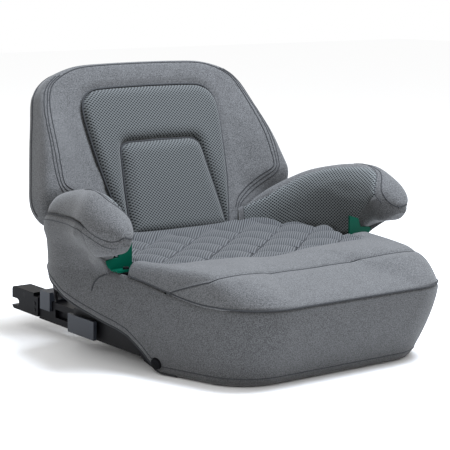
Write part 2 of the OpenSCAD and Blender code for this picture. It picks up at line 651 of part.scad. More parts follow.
module back_mesh_surround() color(mesh_grey) back_frame()
  skin([for (m = mesh_full)
    let (r = m[0], side = m[1], wide = norm([r[0] - r[2], r[1] - r[3]]), k0 = channel / wide)
    [band_point(r, side, 1, back_skin_gap), band_point(r, side, 1, mesh_edge),
      band_point(r, side, 0.8, mesh_crown - 1),
      band_point(r, side, 0.5, mesh_crown), band_point(r, side, k0 + 0.15, mesh_crown - 1),
      band_point(r, side, k0, mesh_edge), band_point(r, side, k0, back_skin_gap)]]);
centre_crown = 9;
module back_mesh_centre() color(mesh_grey) back_frame() {
  ring = concat([for (m = mesh_full) [m[1] * m[0][2], m[0][3]]]);
  mid = [0, centre_top * 0.45];
  skin([for (k = [[1, back_skin_gap], [1, mesh_edge], [0.94, centre_crown - 2.5],
    [0.8, centre_crown - 0.5], [0.5, centre_crown]])
    [for (p = ring) back_place(mid + (p - mid) * k[0] - [sign(p[0]) * 0.3, 0], k[1])]]);
}

// Rear shell of the backrest with its hinge ears
plate_t = 4;
axis_h = -18;
axis_w = -18;
ear_r = 10;
ear_t = 12;
ear_x = [-66, 66];
rod_r = rod_d / 2;
shell_scale = 0.965;
module back_shell() color(hard_grey) back_frame() difference() {
  union() {
    translate([0, back_t + soft_gap + plate_t, 0]) rotate([90, 0, 0]) linear_extrude(plate_t)
      polygon(scaled(back_outline(), shell_scale));
    for (x = ear_x) {
      translate([x - ear_t / 2, -axis_w, axis_h]) rotate([0, 90, 0]) cylinder(h = ear_t, r = ear_r);
      translate([x - ear_t / 2, -axis_w, axis_h])
        cube([ear_t, back_t + soft_gap + plate_t + axis_w, ear_r]);
      translate([x - ear_t / 2, back_t + soft_gap, axis_h]) cube([ear_t, plate_t, wing_low - axis_h]);
    }
  }
  translate([-neck_half, -axis_w, axis_h]) rotate([0, 90, 0])
    cylinder(h = 2 * neck_half, r = rod_r + pin_play);
  for (q = back_screw_spots) translate([q[0], back_t + 20, q[1]]) rotate([90, 0, 0])
    cylinder(h = 30, r = screw_r + pin_play);
}
module back_screws() color(steel) back_frame() for (q = back_screw_spots)
  translate([q[0], back_t + soft_gap + plate_t, q[1]]) rotate([90, 0, 0]) screw(back_screw_l + 2);

// Hinge of the backrest on the deck
axis_y = back_y + axis_h * sin(recline) - axis_w * cos(recline);
axis_z = back_z + axis_h * cos(recline) + axis_w * sin(recline);
bracket_x = neck_half + 4;
bracket_t = 12;
bracket_r = 9;
bracket_foot_t = 4;
bracket_foot_l = 16;
module hinge_brackets() color(hard_grey) both_sides() difference() {
  union() {
    translate([bracket_x, axis_y, axis_z]) rotate([0, 90, 0]) cylinder(h = bracket_t, r = bracket_r);
    translate([bracket_x, axis_y - bracket_r, deck_z])
      cube([bracket_t, 2 * bracket_r - 1, axis_z - deck_z]);
    translate([bracket_x, axis_y - bracket_r - bracket_foot_l, deck_z])
      cube([bracket_t, bracket_foot_l + 1, bracket_foot_t]);
  }
  translate([bracket_x - 1, axis_y, axis_z]) rotate([0, 90, 0])
    cylinder(h = bracket_t + 2, r = rod_r + pin_play);
  translate([bracket_x + bracket_t / 2, bracket_screw_y, deck_z - 1])
    cylinder(h = bracket_foot_t + 2, r = screw_r + pin_play);
}
bracket_screw_y = axis_y - bracket_r - bracket_foot_l / 2;
module bracket_screws() color(steel) both_sides()
  translate([bracket_x + bracket_t / 2, bracket_screw_y, deck_z + bracket_foot_t]) rotate([180, 0, 0])
    screw(shell_t + bracket_foot_t - 0.3);
clip_t = 1.5;
clip_w = 3;
rod_half = bracket_x + bracket_t + 2 * clip_t;
module hinge_rod() color(steel) translate([-rod_half, axis_y, axis_z]) rotate([0, 90, 0])
  cylinder(h = 2 * rod_half, r = rod_r);
module rod_clips() color(steel) both_sides() translate([bracket_x + bracket_t + 0.1, axis_y, axis_z])
  rotate([0, 90, 0])
  difference() {
    cylinder(h = clip_t, r = rod_r + clip_w);
    translate([0, 0, -1]) cylinder(h = clip_t + 2, r = rod_r + pin_play);
  }

// Connector rails and arms: local frame at the rail mouth, +y to the tip, +x outwards
mouth_y = 92;
rail_l = 136;
module anchor_frame(side) on_side(side) translate([anchor_pitch / 2, mouth_y, arm_bar_z])
  rotate([arm_slope, 0, 0]) children();
module block(x0, x1, y0, y1, z0, z1) translate([x0, y0, z0]) cube([x1 - x0, y1 - y0, z1 - z0]);
module cross_pin(x0, x1, y, z, r) translate([x0, y, z]) rotate([0, 90, 0]) cylinder(h = x1 - x0, r = r);
bar_x = arm_bar_w / 2;
bar_z = arm_bar_h / 2;
rail_x = bar_x + rail_play + rail_t;
rail_z = bar_z + rail_play + rail_t;
flange_w = 13;
flange_t = 4;
rail_screw_x = anchor_pitch / 2 - rail_x - flange_w / 2;
rail_low = -bar_z + 0.5;
rail_screw_local = [-rail_l + 14, -30];
tongue_d = 3;
tongue_h = 7;
tongue_end = -6;
rail_screw_y = [for (y = rail_screw_local) mouth_y + y * cos(arm_slope) - rail_z * sin(arm_slope)];
function rail_top_z(y) = arm_bar_z + y * sin(arm_slope) + rail_z * cos(arm_slope);
boss_gap = 0.6;
rail_boss_z = [for (y = rail_screw_local) rail_top_z(y) + boss_gap];

// Adjuster button in the outer wall of a rail
cap_l = 55;
cap_h = 22;
cap_t = 4.5;
cap_gap = 0.6;
cap_x = rail_x + button_travel + cap_gap;
stem_l = 20;
stem_h = 8;
stem_y = -cap_l / 2 - stem_l / 2;
stem_play = 0.4;
groove_h = 10;
groove_d = 5;
stem_tip = bar_x - groove_d + button_travel + cap_gap;
spring_r = 3;
spring_wire = 0.4;
spring_turns = 3;
spring_pocket = 2;
spring_y = [-cap_l + 9, -9];
module rail(side) color(hard_grey) anchor_frame(side) difference() {
  union() {
    block(-rail_x, rail_x, -rail_l, 0, rail_low, rail_z);
    block(-rail_x - flange_w, -rail_x + 1, -rail_l, 0, rail_z - flange_t, rail_z);
  }
  difference() {
    block(-bar_x - rail_play, bar_x + rail_play, -rail_l - 1, 1, -bar_z - rail_play, bar_z + rail_play);
    block(-rail_x, -bar_x + tongue_d, -rail_l, tongue_end, -tongue_h / 2, tongue_h / 2);
  }
  block(0, rail_x + 1, stem_y - stem_play, stem_y + stem_l + stem_play, -stem_h / 2 - stem_play,
    stem_h / 2 + stem_play);
  for (y = rail_screw_local) translate([-rail_x - flange_w / 2, y, rail_z - flange_t - 1])
    rotate([-arm_slope, 0, 0])
    cylinder(h = flange_t + 3, r = screw_r + 0.5);
}
module rail_screws() color(steel) both_sides() for (i = [0, 1])
  translate([rail_screw_x, rail_screw_y[i], rail_boss_z[i] - boss_gap - flange_t - 0.5])
    screw(flange_t + boss_gap + 20);
module rail_button(side) color(button_grey) anchor_frame(side) difference() {
  union() {
    block(cap_x, cap_x + cap_t, -cap_l, 0, -cap_h / 2, cap_h / 2);
    block(stem_tip, cap_x + 1, stem_y, stem_y + stem_l, -stem_h / 2, stem_h / 2);
  }
  for (y = spring_y) cross_pin(cap_x - 1, cap_x + spring_pocket, y, 0, spring_r + spring_wire + 0.5);
}
// Tube of five sides along a helix about the x axis
module coil(length, radius, wire, turns) {
  steps = 8 * turns;
  skin([for (i = [0:steps])
    let (a = 360 * turns * i / steps, x = mix(wire, length - wire, i / steps))
    [for (k = [0:4]) let (b = 72 * k, r = radius + wire * cos(b))
      [x + wire * sin(b), r * cos(a), r * sin(a)]]]);
}
module button_springs(side) color(steel) anchor_frame(side) for (y = spring_y)
  translate([rail_x + 0.1, y, 0]) coil(cap_x + spring_pocket - rail_x - 0.2, spring_r, spring_wire,
    spring_turns);

// Sliding arm: steel beam in a plastic housing, with a head that takes the anchor bar
arm_front = arm_travel + 8 - rail_l;
arm_rear = 83;
beam_t = 5;
beam_h = 16;
beam_play = 0.1;
head_rear = anchor_tip - mouth_y;
head_x = 12;
head_low = -11;
head_top = 17;
head_step_z = 13;
head_step_l = 10;
head_r = 5;
beam_end = arm_rear + 15;
rivet_r = 2.5;
rivet_y = arm_rear + 8;
rivet_z = [-4, 4];
module arm_beam(side) color(steel) anchor_frame(side) difference() {
  block(-beam_t / 2, beam_t / 2, arm_front + 2, beam_end, -beam_h / 2, beam_h / 2);
  for (z = rivet_z) cross_pin(-beam_t, beam_t, rivet_y, z, rivet_r + pin_play);
}
collar_front = 54;
collar_l = arm_rear - collar_front - collar_travel - 1;
collar_play = 0.4;
collar_t = 2.8;
collar_low = 1;
collar_top = 24;
rod_w = 4;
rod_h = 3.6;
rod_play = 0.3;
rod_low = bar_z + collar_play - rod_h;
rod_front = collar_front + 4;
rod_rear = arm_rear + 17;
module arm_housing(side) color(black) anchor_frame(side) difference() {
  block(-bar_x, bar_x, arm_front, arm_rear, -bar_z, bar_z);
  block(-beam_t / 2 - beam_play, beam_t / 2 + beam_play, arm_front - 1, arm_rear + 1,
    -beam_h / 2 - beam_play, beam_h / 2 + beam_play);
  block(bar_x - groove_d, bar_x + 1, arm_front - 1, collar_front - 8, -groove_h / 2, groove_h / 2);
  block(-bar_x - 1, -bar_x + tongue_d + rail_play, arm_front - 1, collar_front - 8,
    -tongue_h / 2 - rail_play, tongue_h / 2 + rail_play);
  block(-rod_w / 2 - rod_play, rod_w / 2 + rod_play, rod_front - rod_play, arm_rear + 1,
    rod_low - rod_play, bar_z + 1);
}
hook_y = head_rear - 28;
hook_z = 10.3;
pin_r = 3;
hook_t = 5.4;
slit_half = 3;
slit_roof = 15.3;
jaw_top = 2.4;
spring_room = 4;
module head_profile() {
  difference() {
    translate([arm_rear, head_low]) square([head_rear - arm_rear, head_top - head_low]);
    translate([arm_rear - 1, head_step_z]) square([head_step_l + 1, head_top]);
    for (z = [head_low + head_r, head_top - head_r]) translate([head_rear - head_r, z]) difference() {
      translate([0, z > 0 ? 0 : -head_r - 1]) square(head_r + 1);
      circle(head_r);
    }
    translate([head_rear - jaw_depth + jaw_h / 2, jaw_top - jaw_h / 2]) circle(jaw_h / 2);
    translate([head_rear - jaw_depth + jaw_h / 2, jaw_top - jaw_h]) square([jaw_depth, jaw_h]);
  }
}
module connector_head(side) color(black) anchor_frame(side) difference() {
  translate([-head_x, 0, 0]) rotate([90, 0, 90]) linear_extrude(2 * head_x) head_profile();
  block(-beam_t / 2 - beam_play, beam_t / 2 + beam_play, arm_rear - 1, beam_end + 1,
    -beam_h / 2 - beam_play, beam_h / 2 + beam_play);
  block(-slit_half, slit_half, beam_end + 3, head_rear + 1, jaw_top - jaw_h, slit_roof);
  block(-rod_w / 2 - rod_play, rod_w / 2 + rod_play, arm_rear - 1, beam_end + 4, rod_low - rod_play,
    bar_z + collar_play + rod_play);
  cross_pin(-head_x - 1, head_x + 1, hook_y, hook_z, pin_r + pin_play);
  cross_pin(0, slit_half + spring_room, hook_y, hook_z, pin_r + 2.5);
  for (z = rivet_z) cross_pin(-head_x - 1, head_x + 1, rivet_y, z, rivet_r + pin_play);
}
module hook_pin(side) color(steel) anchor_frame(side) cross_pin(-head_x, head_x, hook_y, hook_z, pin_r);
module head_rivets(side) color(steel) anchor_frame(side) for (z = rivet_z)
  cross_pin(-head_x - 0.6, head_x + 0.6, rivet_y, z, rivet_r);
module hook_spring(side) color(steel) anchor_frame(side)
  translate([slit_half + 0.2, hook_y, hook_z]) coil(spring_room - 0.6, pin_r + 1.2, 0.45, 3);
hub_r = 5.2;
claw_reach = 27;
claw_t = 3.5;
claw_drop = 7;
hook_arm_top = 3.8;
hook_arm_low = -2;
module hook(side) color(steel) anchor_frame(side) translate([-hook_t / 2, hook_y, hook_z])
  rotate([90, 0, 90])
  linear_extrude(hook_t) difference() {
    union() {
      intersection() {
        circle(hub_r);
        translate([-hub_r, -hub_r]) square([2 * hub_r, hub_r + hook_arm_top]);
      }
      translate([0, hook_arm_low]) square([claw_reach, hook_arm_top - hook_arm_low]);
      translate([claw_reach - claw_t, -claw_drop]) square([claw_t, claw_drop]);
    }
    circle(pin_r + pin_play);
  }

// Release collar over the arm, with the rod that works the hook
module release_collar(side) color(button_grey) anchor_frame(side) difference() {
  block(-bar_x - collar_play - collar_t, bar_x + collar_play + collar_t, collar_front,
    collar_front + collar_l, collar_low, collar_top);
  block(-bar_x - collar_play, bar_x + collar_play, collar_front - 1, collar_front + collar_l + 1,
    collar_low - 1, bar_z + collar_play);
}
module pull_rod(side) color(steel) anchor_frame(side)
  block(-rod_w / 2, rod_w / 2, rod_front, rod_rear, rod_low, rod_low + rod_h);

base_shell();
bottom_tray();
non_slip_mat();
tray_screws();
skirt_cover();
front_bolster();
seat_surround();
seat_foam();
seat_quilt();
armrest_core(left);  // armrest_core_left
armrest_core(right);  // armrest_core_right
armrest_cover(left);  // armrest_cover_left
armrest_cover(right);  // armrest_cover_right
core_screws();
belt_guide(left);  // belt_guide_left
belt_guide(right);  // belt_guide_right
guide_screws();
cover_buttons();
rail(left);  // rail_left
rail(right);  // rail_right
rail_screws();
hinge_brackets();
bracket_screws();
hinge_rod();
rod_clips();
back_shell();
back_pad();
back_mesh_surround();
back_mesh_centre();
back_screws();
arm_beam(left);  // arm_beam_left
arm_housing(left);  // arm_housing_left
connector_head(left);  // connector_head_left
hook_pin(left);  // hook_pin_left
head_rivets(left);  // head_rivets_left
hook_spring(left);  // hook_spring_left
hook(left);  // hook_left
release_collar(left);  // release_collar_left
pull_rod(left);  // pull_rod_left
rail_button(left);  // rail_button_left
button_springs(left);  // button_springs_left
arm_beam(right);  // arm_beam_right
arm_housing(right);  // arm_housing_right
connector_head(right);  // connector_head_right
hook_pin(right);  // hook_pin_right
head_rivets(right);  // head_rivets_right
hook_spring(right);  // hook_spring_right
hook(right);  // hook_right
release_collar(right);  // release_collar_right
pull_rod(right);  // pull_rod_right
rail_button(right);  // rail_button_right
button_springs(right);  // button_springs_right
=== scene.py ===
import json
import math

import bpy
import numpy as np
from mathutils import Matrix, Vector
from mathutils.bvhtree import BVHTree


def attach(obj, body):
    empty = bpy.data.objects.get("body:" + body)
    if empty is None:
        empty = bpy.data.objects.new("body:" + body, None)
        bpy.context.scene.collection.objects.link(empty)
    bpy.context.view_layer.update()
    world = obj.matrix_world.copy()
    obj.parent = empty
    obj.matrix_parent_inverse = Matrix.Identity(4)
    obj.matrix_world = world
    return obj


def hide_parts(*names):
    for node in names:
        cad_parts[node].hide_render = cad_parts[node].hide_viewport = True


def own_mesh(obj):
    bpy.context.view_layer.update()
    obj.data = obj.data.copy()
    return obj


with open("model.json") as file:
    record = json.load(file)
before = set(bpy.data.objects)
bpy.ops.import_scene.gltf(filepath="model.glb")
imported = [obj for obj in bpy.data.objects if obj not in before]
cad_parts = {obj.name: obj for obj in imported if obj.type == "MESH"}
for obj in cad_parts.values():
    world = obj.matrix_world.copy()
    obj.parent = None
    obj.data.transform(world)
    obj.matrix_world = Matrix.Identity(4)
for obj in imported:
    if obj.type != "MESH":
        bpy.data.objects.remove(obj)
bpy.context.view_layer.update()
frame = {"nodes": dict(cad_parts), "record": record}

MM = 0.001
TINY = 1e-9
LEFT, RIGHT = -1, 1


# Small helpers; lengths in millimetres until a mesh is made
def mix(a, b, t):
    return a + (b - a) * t


def clamp(t):
    return np.clip(t, 0.0, 1.0)


def ease(t):
    c = clamp(t)
    return c * c * (3 - 2 * c)


def row_at(tab, t):
    """Row of a table at a station, on a smooth curve through its rows."""
    n = len(tab)
    i = int(min(n - 2, math.floor(t)))
    f = t - i
    a, b, c, d = tab[max(0, i - 1)], tab[i], tab[i + 1], tab[min(n - 1, i + 2)]
    return 0.5 * (2 * b + (c - a) * f + (2 * a - 5 * b + 4 * c - d) * f * f + (3 * b - a - 3 * c + d) * f**3)


def smooth_line(points, count):
    tab = np.array(points, float)
    return np.array([row_at(tab, t) for t in np.linspace(0, len(tab) - 1, count)])


def run_along(points, axis=0):
    """Running length of a line or a grid of points along one of its axes."""
    steps = np.linalg.norm(np.diff(points, axis=axis), axis=-1)
    start = np.zeros_like(np.take(steps, [0], axis=axis))
    return np.concatenate([start, np.cumsum(steps, axis=axis)], axis=axis)


def spans(ends, counts):
    """Stops through several spans, each evenly divided into its own count of points."""
    parts = [np.linspace(a, b, n)[:-1] for a, b, n in zip(ends, ends[1:], counts)]
    return np.concatenate([*parts, ends[-1:]])


def both_ways(last, count):
    """Stops from minus last to last, with zero in the middle."""
    half = np.linspace(0, last, count)
    return np.concatenate([-half[::-1], half[1:]])


def even_line(points, count):
    p = np.array(points, float)
    run = run_along(p)
    at = np.linspace(0, run[-1], count)
    return np.stack([np.interp(at, run, p[:, k]) for k in range(p.shape[1])], 1)


def curve(t, xs, ys):
    """Smooth value at t through a short table."""
    i = int(np.clip(np.searchsorted(xs, t) - 1, 0, len(xs) - 2))
    slopes = np.gradient(np.array(ys, float), np.array(xs, float))
    w = xs[i + 1] - xs[i]
    f = float(clamp((t - xs[i]) / w))
    bend = w * f * (1 - f) * (slopes[i] * (1 - f) - slopes[i + 1] * f)
    return mix(ys[i], ys[i + 1], ease(f)) + bend


def unit(v):
    """Rows of vectors at length 1."""
    return v / np.maximum(np.linalg.norm(v, axis=1, keepdims=True), TINY)


def arc(x, y, r, a):
    return np.array([x + r * math.cos(a), y + r * math.sin(a)])


def signed_pow(v, p):
    return np.sign(v) * np.abs(v) ** p


def rounded(x):
    """Quarter circle that rises from 0 to 1."""
    return np.sqrt(1 - (1 - clamp(x)) ** 2)


# Materials
def new_material(name):
    m = bpy.data.materials.new(name)
    m.use_nodes = True
    t = m.node_tree
    return m, t, t.nodes["Principled BSDF"]


def set_inputs(node, values):
    for socket, value in values.items():
        node.inputs[socket].default_value = value


def noise(t, scale, **more):
    """Output of a noise texture on the piece's own coordinates."""
    where = t.nodes.new("ShaderNodeTexCoord")
    n = t.nodes.new("ShaderNodeTexNoise")
    set_inputs(n, {"Scale": scale} | more)
    t.links.new(where.outputs["Object"], n.inputs["Vector"])
    return n.outputs["Fac"]


def add_bump(t, bsdf, height, strength, depth):
    bump = t.nodes.new("ShaderNodeBump")
    set_inputs(bump, {"Strength": strength, "Distance": depth})
    t.links.new(height, bump.inputs["Height"])
    t.links.new(bump.outputs["Normal"], bsdf.inputs["Normal"])


GRAIN_SCALE, GRAIN_DEPTH = 1400, 0.0003


def plain(name, color, rough, metal=0.0, shine=0.5, grain=0.0):
    m, t, bsdf = new_material(name)
    look = {"Base Color": (*color, 1), "Roughness": rough, "Metallic": metal, "Specular IOR Level": shine}
    set_inputs(bsdf, look)
    if grain:
        add_bump(t, bsdf, noise(t, GRAIN_SCALE), grain, GRAIN_DEPTH)
    return m


def feed(t, socket, v):
    """Gives a socket a number, a colour or the output of another node."""
    if isinstance(v, (int, float)):
        socket.default_value = v
    elif isinstance(v, tuple):
        socket.default_value = (*v, 1)
    else:
        t.links.new(v, socket)


def math_node(t, op, *values, clamped=False):
    n = t.nodes.new("ShaderNodeMath")
    n.operation = op
    n.use_clamp = clamped
    for k, v in enumerate(values):
        feed(t, n.inputs[k], v)
    return n.outputs[0]


def color_mix(t, fac, a, b):
    n = t.nodes.new("ShaderNodeMix")
    n.data_type = "RGBA"
    for k, v in ((0, fac), (6, a), (7, b)):
        feed(t, n.inputs[k], v)
    return n.outputs[2]


DARK_YARN, LIGHT_YARN = (0.031, 0.0313, 0.0317), (0.105, 0.106, 0.108)
YARN_SCALE, DRIFT_SCALE = 1000, 55
YARN_CONTRAST, YARN_START = 3.4, -1.2
DRIFT = 0.22


def melange(t, depth):
    """Colour and height of the heathered weave; depth scales how light its yarns are, and below 1 darkens
    them as painted shade.
    """
    fine = noise(t, YARN_SCALE, Detail=2, Roughness=0.6)
    broad = noise(t, DRIFT_SCALE, Detail=2)
    steep = math_node(t, "MULTIPLY_ADD", fine, YARN_CONTRAST, YARN_START, clamped=True)
    drift = math_node(t, "MULTIPLY_ADD", broad, DRIFT, -DRIFT / 2)
    share = math_node(t, "ADD", steep, drift, clamped=True)
    dark, light = (tuple(c * depth for c in yarn) for yarn in (DARK_YARN, LIGHT_YARN))
    return color_mix(t, share, dark, light), fine


def flat_place(t, pitch, turned, stretch=1.0):
    """The piece's own flat coordinates, turned and counted in pitches of a pattern."""
    uv = t.nodes.new("ShaderNodeUVMap")
    uv.uv_map = "flat"
    turn = t.nodes.new("ShaderNodeMapping")
    set_inputs(turn, {"Scale": (1 / pitch, stretch / pitch, 1), "Rotation": (0, 0, math.radians(turned))})
    t.links.new(uv.outputs["UV"], turn.inputs["Vector"])
    return turn.outputs["Vector"]


HOLE_STRETCH, HOLE_EDGE, HOLE_SIZE = 1.2, -5.0, 2.3
GROOVE_EDGE, GROOVE_SIZE = 0.8, 0.4


def spacer_mesh(t, pitch, light, dark, turned):
    """Colour and depth of the perforated knit."""
    dots = t.nodes.new("ShaderNodeTexVoronoi")
    dots.voronoi_dimensions = "2D"
    set_inputs(dots, {"Scale": 1, "Randomness": 0.0})
    t.links.new(flat_place(t, pitch, turned, HOLE_STRETCH), dots.inputs["Vector"])
    hole = math_node(t, "MULTIPLY_ADD", dots.outputs["Distance"], HOLE_EDGE, HOLE_SIZE, clamped=True)
    return color_mix(t, hole, light, dark), hole


def ribs(t, pitch, light, dark, turned):
    """Colour and depth of fine ribs."""
    part = t.nodes.new("ShaderNodeSeparateXYZ")
    t.links.new(flat_place(t, pitch, turned), part.inputs["Vector"])
    wave = math_node(t, "SINE", math_node(t, "MULTIPLY", part.outputs["X"], 2 * math.pi))
    groove = math_node(t, "MULTIPLY_ADD", wave, GROOVE_EDGE, GROOVE_SIZE, clamped=True)
    return color_mix(t, groove, light, dark), groove


KNIT = {"pitch": 0.0033, "light": (0.078, 0.0835, 0.084), "dark": (0.004, 0.005, 0.0055), "turned": 45}
RIB = {"pitch": 0.0026, "light": (0.077, 0.0795, 0.083), "dark": (0.011, 0.012, 0.013), "turned": 45}
CLOTH_LOOK = {"Roughness": 0.92, "Specular IOR Level": 0.18, "Sheen Weight": 0.12, "Sheen Roughness": 0.5}
CLOTH_BUMP, CLOTH_DEPTH = 0.25, 0.0007


def fabric(name, kind, knit=KNIT, depth=1.0):
    """Weave, mesh, ribs, or both: mesh where the piece's zone value is positive and weave elsewhere."""
    m, t, bsdf = new_material(name)
    set_inputs(bsdf, CLOTH_LOOK)
    parts = []
    if kind in ("melange", "both"):
        parts.append(melange(t, depth))
    if kind in ("mesh", "both"):
        parts.append(spacer_mesh(t, **knit))
    if kind == "ribs":
        parts.append(ribs(t, **knit))
    color, height = parts[0]
    if kind == "both":
        zone = t.nodes.new("ShaderNodeAttribute")
        zone.attribute_name = "zone"
        pick = math_node(t, "GREATER_THAN", zone.outputs["Fac"], 0.0)
        color = color_mix(t, pick, parts[0][0], parts[1][0])
        drop = math_node(t, "MULTIPLY", parts[1][1], -1.0)
        flip = t.nodes.new("ShaderNodeMix")
        for k, v in ((0, pick), (2, parts[0][1]), (3, drop)):
            feed(t, flip.inputs[k], v)
        height = flip.outputs[0]
    elif kind != "melange":
        height = math_node(t, "MULTIPLY", height, -1.0)
    t.links.new(color, bsdf.inputs["Base Color"])
    add_bump(t, bsdf, height, CLOTH_BUMP, CLOTH_DEPTH)
    return m


MELANGE = fabric("melange_fabric", "melange")
# The skirt's yarns are darkened to 0.8 as painted shade, for the front and sides of the skirt that the
# overhead light leaves in shade.
SKIRT = fabric("skirt_fabric_painted_shade", "melange", depth=0.8)
MESH = fabric("mesh_fabric", "mesh")
RIBBED = fabric("quilt_fabric", "ribs", RIB)
SLEEVE = fabric("sleeve_fabric", "both", KNIT | {"light": (0.112, 0.12, 0.121)})
# Near-black seam thread: partly the thread's colour, partly painted shade of the gaps along the seams and of
# the grooves beside the piping.
SEAM_THREAD_AND_SHADE = plain("seam_thread_and_shade", (0.013, 0.014, 0.016), 0.9)
# Dark stitch thread: the thread's colour on the hem, cap and mesh, and on the quilt also painted shade of the
# valleys.
STITCH = plain("stitch_thread_and_shade", (0.022, 0.023, 0.026), 0.9)
HARD = {
    "dark_plastic": plain("dark_plastic", (0.006, 0.006, 0.007), 0.5, shine=0.1, grain=0.25),
    "black_plastic": plain("black_plastic", (0.003, 0.003, 0.004), 0.45, shine=0.06, grain=0.2),
    "grey_plastic": plain("grey_plastic", (0.026, 0.03, 0.038), 0.5, shine=0.25, grain=0.2),
    "green_plastic": plain("green_plastic", (0.0, 0.05, 0.03), 0.45, shine=0.06),
    "core_plastic": plain("core_plastic", (0.6, 0.6, 0.58), 0.6),
    "foam": plain("foam", (0.8, 0.8, 0.76), 0.95),
    "mat_rubber": plain("mat_rubber", (0.015, 0.015, 0.015), 0.85, grain=0.4),
    "steel": plain("steel", (0.55, 0.56, 0.58), 0.35, metal=1.0),
    "dark_steel": plain("dark_steel", (0.006, 0.006, 0.007), 0.5, shine=0.08),
}


# Meshes
def link(o):
    bpy.context.scene.collection.objects.link(o)


def make_piece(name, verts, faces, body, material, replaces=(), uv=None, zone=None):
    """A visible piece on a body; uv gives its flat coordinates, zone the value that picks its fabric."""
    me = bpy.data.meshes.new(name)
    me.from_pydata([tuple(float(c) * MM for c in v) for v in verts], [], [tuple(f) for f in faces])
    me.update()
    me.polygons.foreach_set("use_smooth", [True] * len(me.polygons))
    if uv is not None:
        layer = me.uv_layers.new(name="flat")
        loops = np.zeros(len(me.loops), int)
        me.loops.foreach_get("vertex_index", loops)
        layer.data.foreach_set("uv", (np.array(uv)[loops] * MM).ravel())
    if zone is not None:
        me.attributes.new("zone", "FLOAT", "POINT").data.foreach_set("value", np.array(zone, float))
    o = bpy.data.objects.new(name, me)
    link(o)
    me.materials.append(material)
    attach(o, body)
    if replaces:
        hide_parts(*replaces)
    return o


def grid_faces(m, n, close_n=False, flip=False):
    """Faces of m rows of n points each."""
    out = []
    for i in range(m - 1):
        for j in range(n if close_n else n - 1):
            k = (j + 1) % n
            f = (i * n + j, i * n + k, (i + 1) * n + k, (i + 1) * n + j)
            out.append(f[::-1] if flip else f)
    return out


def fan(start, n, tip, flip=False):
    """Triangles from a ring of n points to one point."""
    out = [(start + k, tip, start + (k + 1) % n) for k in range(n)]
    return [f[::-1] for f in out] if flip else out


CLOTH = {
    "quality": 5, "mass": 0.3, "tension_stiffness": 20, "compression_stiffness": 20, "shear_stiffness": 10,
    "bending_stiffness": 1.2, "air_damping": 4, "use_pressure": True, "uniform_pressure_force": 2.0}
CLOTH_FRAMES, CLOTH_RISE = 20, 2.5


def puff(o, held):
    """Inflates a soft piece with a short cloth run; held gives the share by which each point stays put."""
    scene = bpy.context.scene
    before = np.array([v.co for v in o.data.vertices])
    group = o.vertex_groups.new(name="held")
    for i, h in enumerate(held):
        if h > 0:
            group.add([i], float(min(1, h)), "REPLACE")
    cloth = o.modifiers.new("cloth", "CLOTH")
    for key, value in CLOTH.items():
        setattr(cloth.settings, key, value)
    cloth.settings.vertex_group_mass = group.name
    cloth.settings.effector_weights.gravity = 0
    cloth.collision_settings.use_collision = False
    cloth.point_cache.frame_start, cloth.point_cache.frame_end = 1, CLOTH_FRAMES
    for f in range(1, CLOTH_FRAMES + 1):
        scene.frame_set(f)
    done = o.evaluated_get(bpy.context.evaluated_depsgraph_get()).to_mesh()
    after = np.array([v.co for v in done.vertices])
    scene.frame_set(1)
    o.modifiers.remove(cloth)
    o.vertex_groups.remove(group)
    move = after - before
    size = np.linalg.norm(move, axis=1, keepdims=True)
    limit = CLOTH_RISE * MM * (1 - clamp(np.array(held, float)))[:, None]
    move = np.where(np.isfinite(move), move, 0) * np.minimum(1, limit / np.maximum(size, TINY))
    o.data.vertices.foreach_set("co", (before + move).ravel())
    o.data.update()


def surface_of(*objs):
    """Search trees of pieces, for laying seams on them."""
    trees = []
    for o in objs:
        corners = [v.co.copy() for v in o.data.vertices]
        trees.append(BVHTree.FromPolygons(corners, [p.vertices[:] for p in o.data.polygons]))
    return trees


def laid(trees, points, lift):
    """Points moved to the nearest surface, and a little way off it."""
    out = []
    for p in points:
        best = None
        for t in trees:
            hit = t.find_nearest(Vector([float(c) * MM for c in p]))
            if hit[0] is not None and (best is None or hit[3] < best[3]):
                best = hit
        out.append(np.array(best[0] + best[1] * lift * MM) / MM)
    return np.array(out)


class Threads:
    """Thin tubes along seams, gathered into one piece for each body and thread."""

    SIDES = 6
    # a direction that no seam follows
    ASIDE = 0.31, 0.17, 0.93

    def __init__(self):
        self.v, self.f = [], []

    def add(self, line, r):
        line = np.array(line, float)
        ahead = unit(np.gradient(line, axis=0))
        side = unit(np.cross(ahead, self.ASIDE))
        up = np.cross(side, ahead)
        base = len(self.v)
        for k in range(len(line)):
            for q in range(self.SIDES):
                a = 2 * math.pi * q / self.SIDES
                self.v.append(line[k] + r * (math.cos(a) * side[k] + math.sin(a) * up[k]))
        tube = grid_faces(len(line), self.SIDES, close_n=True)
        self.f += [tuple(base + k for k in face) for face in tube]

    def make(self, name, body, material):
        make_piece(name, self.v, self.f, body, material)


seams_base, stitches_base, seams_back = Threads(), Threads(), Threads()

# Base outline, as in the solids
BASE_FRONT, BASE_W, FLARE, FRONT_R, REAR_R, BASE_REAR = 236, 310, 0.235, 60, 68, 112
TOE_FRONT, TOE_SIDE, SEAM_Z, THROAT_Z, HEM_Z = 36, 18, 89, 110, 1.5
SIDE_ANGLE = math.atan(FLARE)
SLANT = math.sqrt(1 + FLARE * FLARE)
REAR_Y = BASE_REAR - REAR_R
THROAT_Y = -35
REAR_TURN = math.radians(55)
TOE_POWER = 1.4
# Stations along half the outline: ends of the front, the front corner, the side and the rear corner
FRONT_END, CORNER_END, SIDE_END, REAR_END = 4, 13, 25, 34
# Height of the lower edge along the sides
ARCH = np.array([
    [-89, HEM_Z], [-82, 5], [-75, 15], [-69, 23], [-61, 31], [-52, 39], [-38, 45], [-20, 50], [14, 62],
    [34, 71], [50, 81], [80, 92], [130, 96]], float)


def toe(level):
    return (1 - clamp(level)) ** TOE_POWER


def side_x(level, y):
    return BASE_W / 2 - TOE_SIDE * toe(level) + FLARE * (y + BASE_FRONT - FRONT_R)


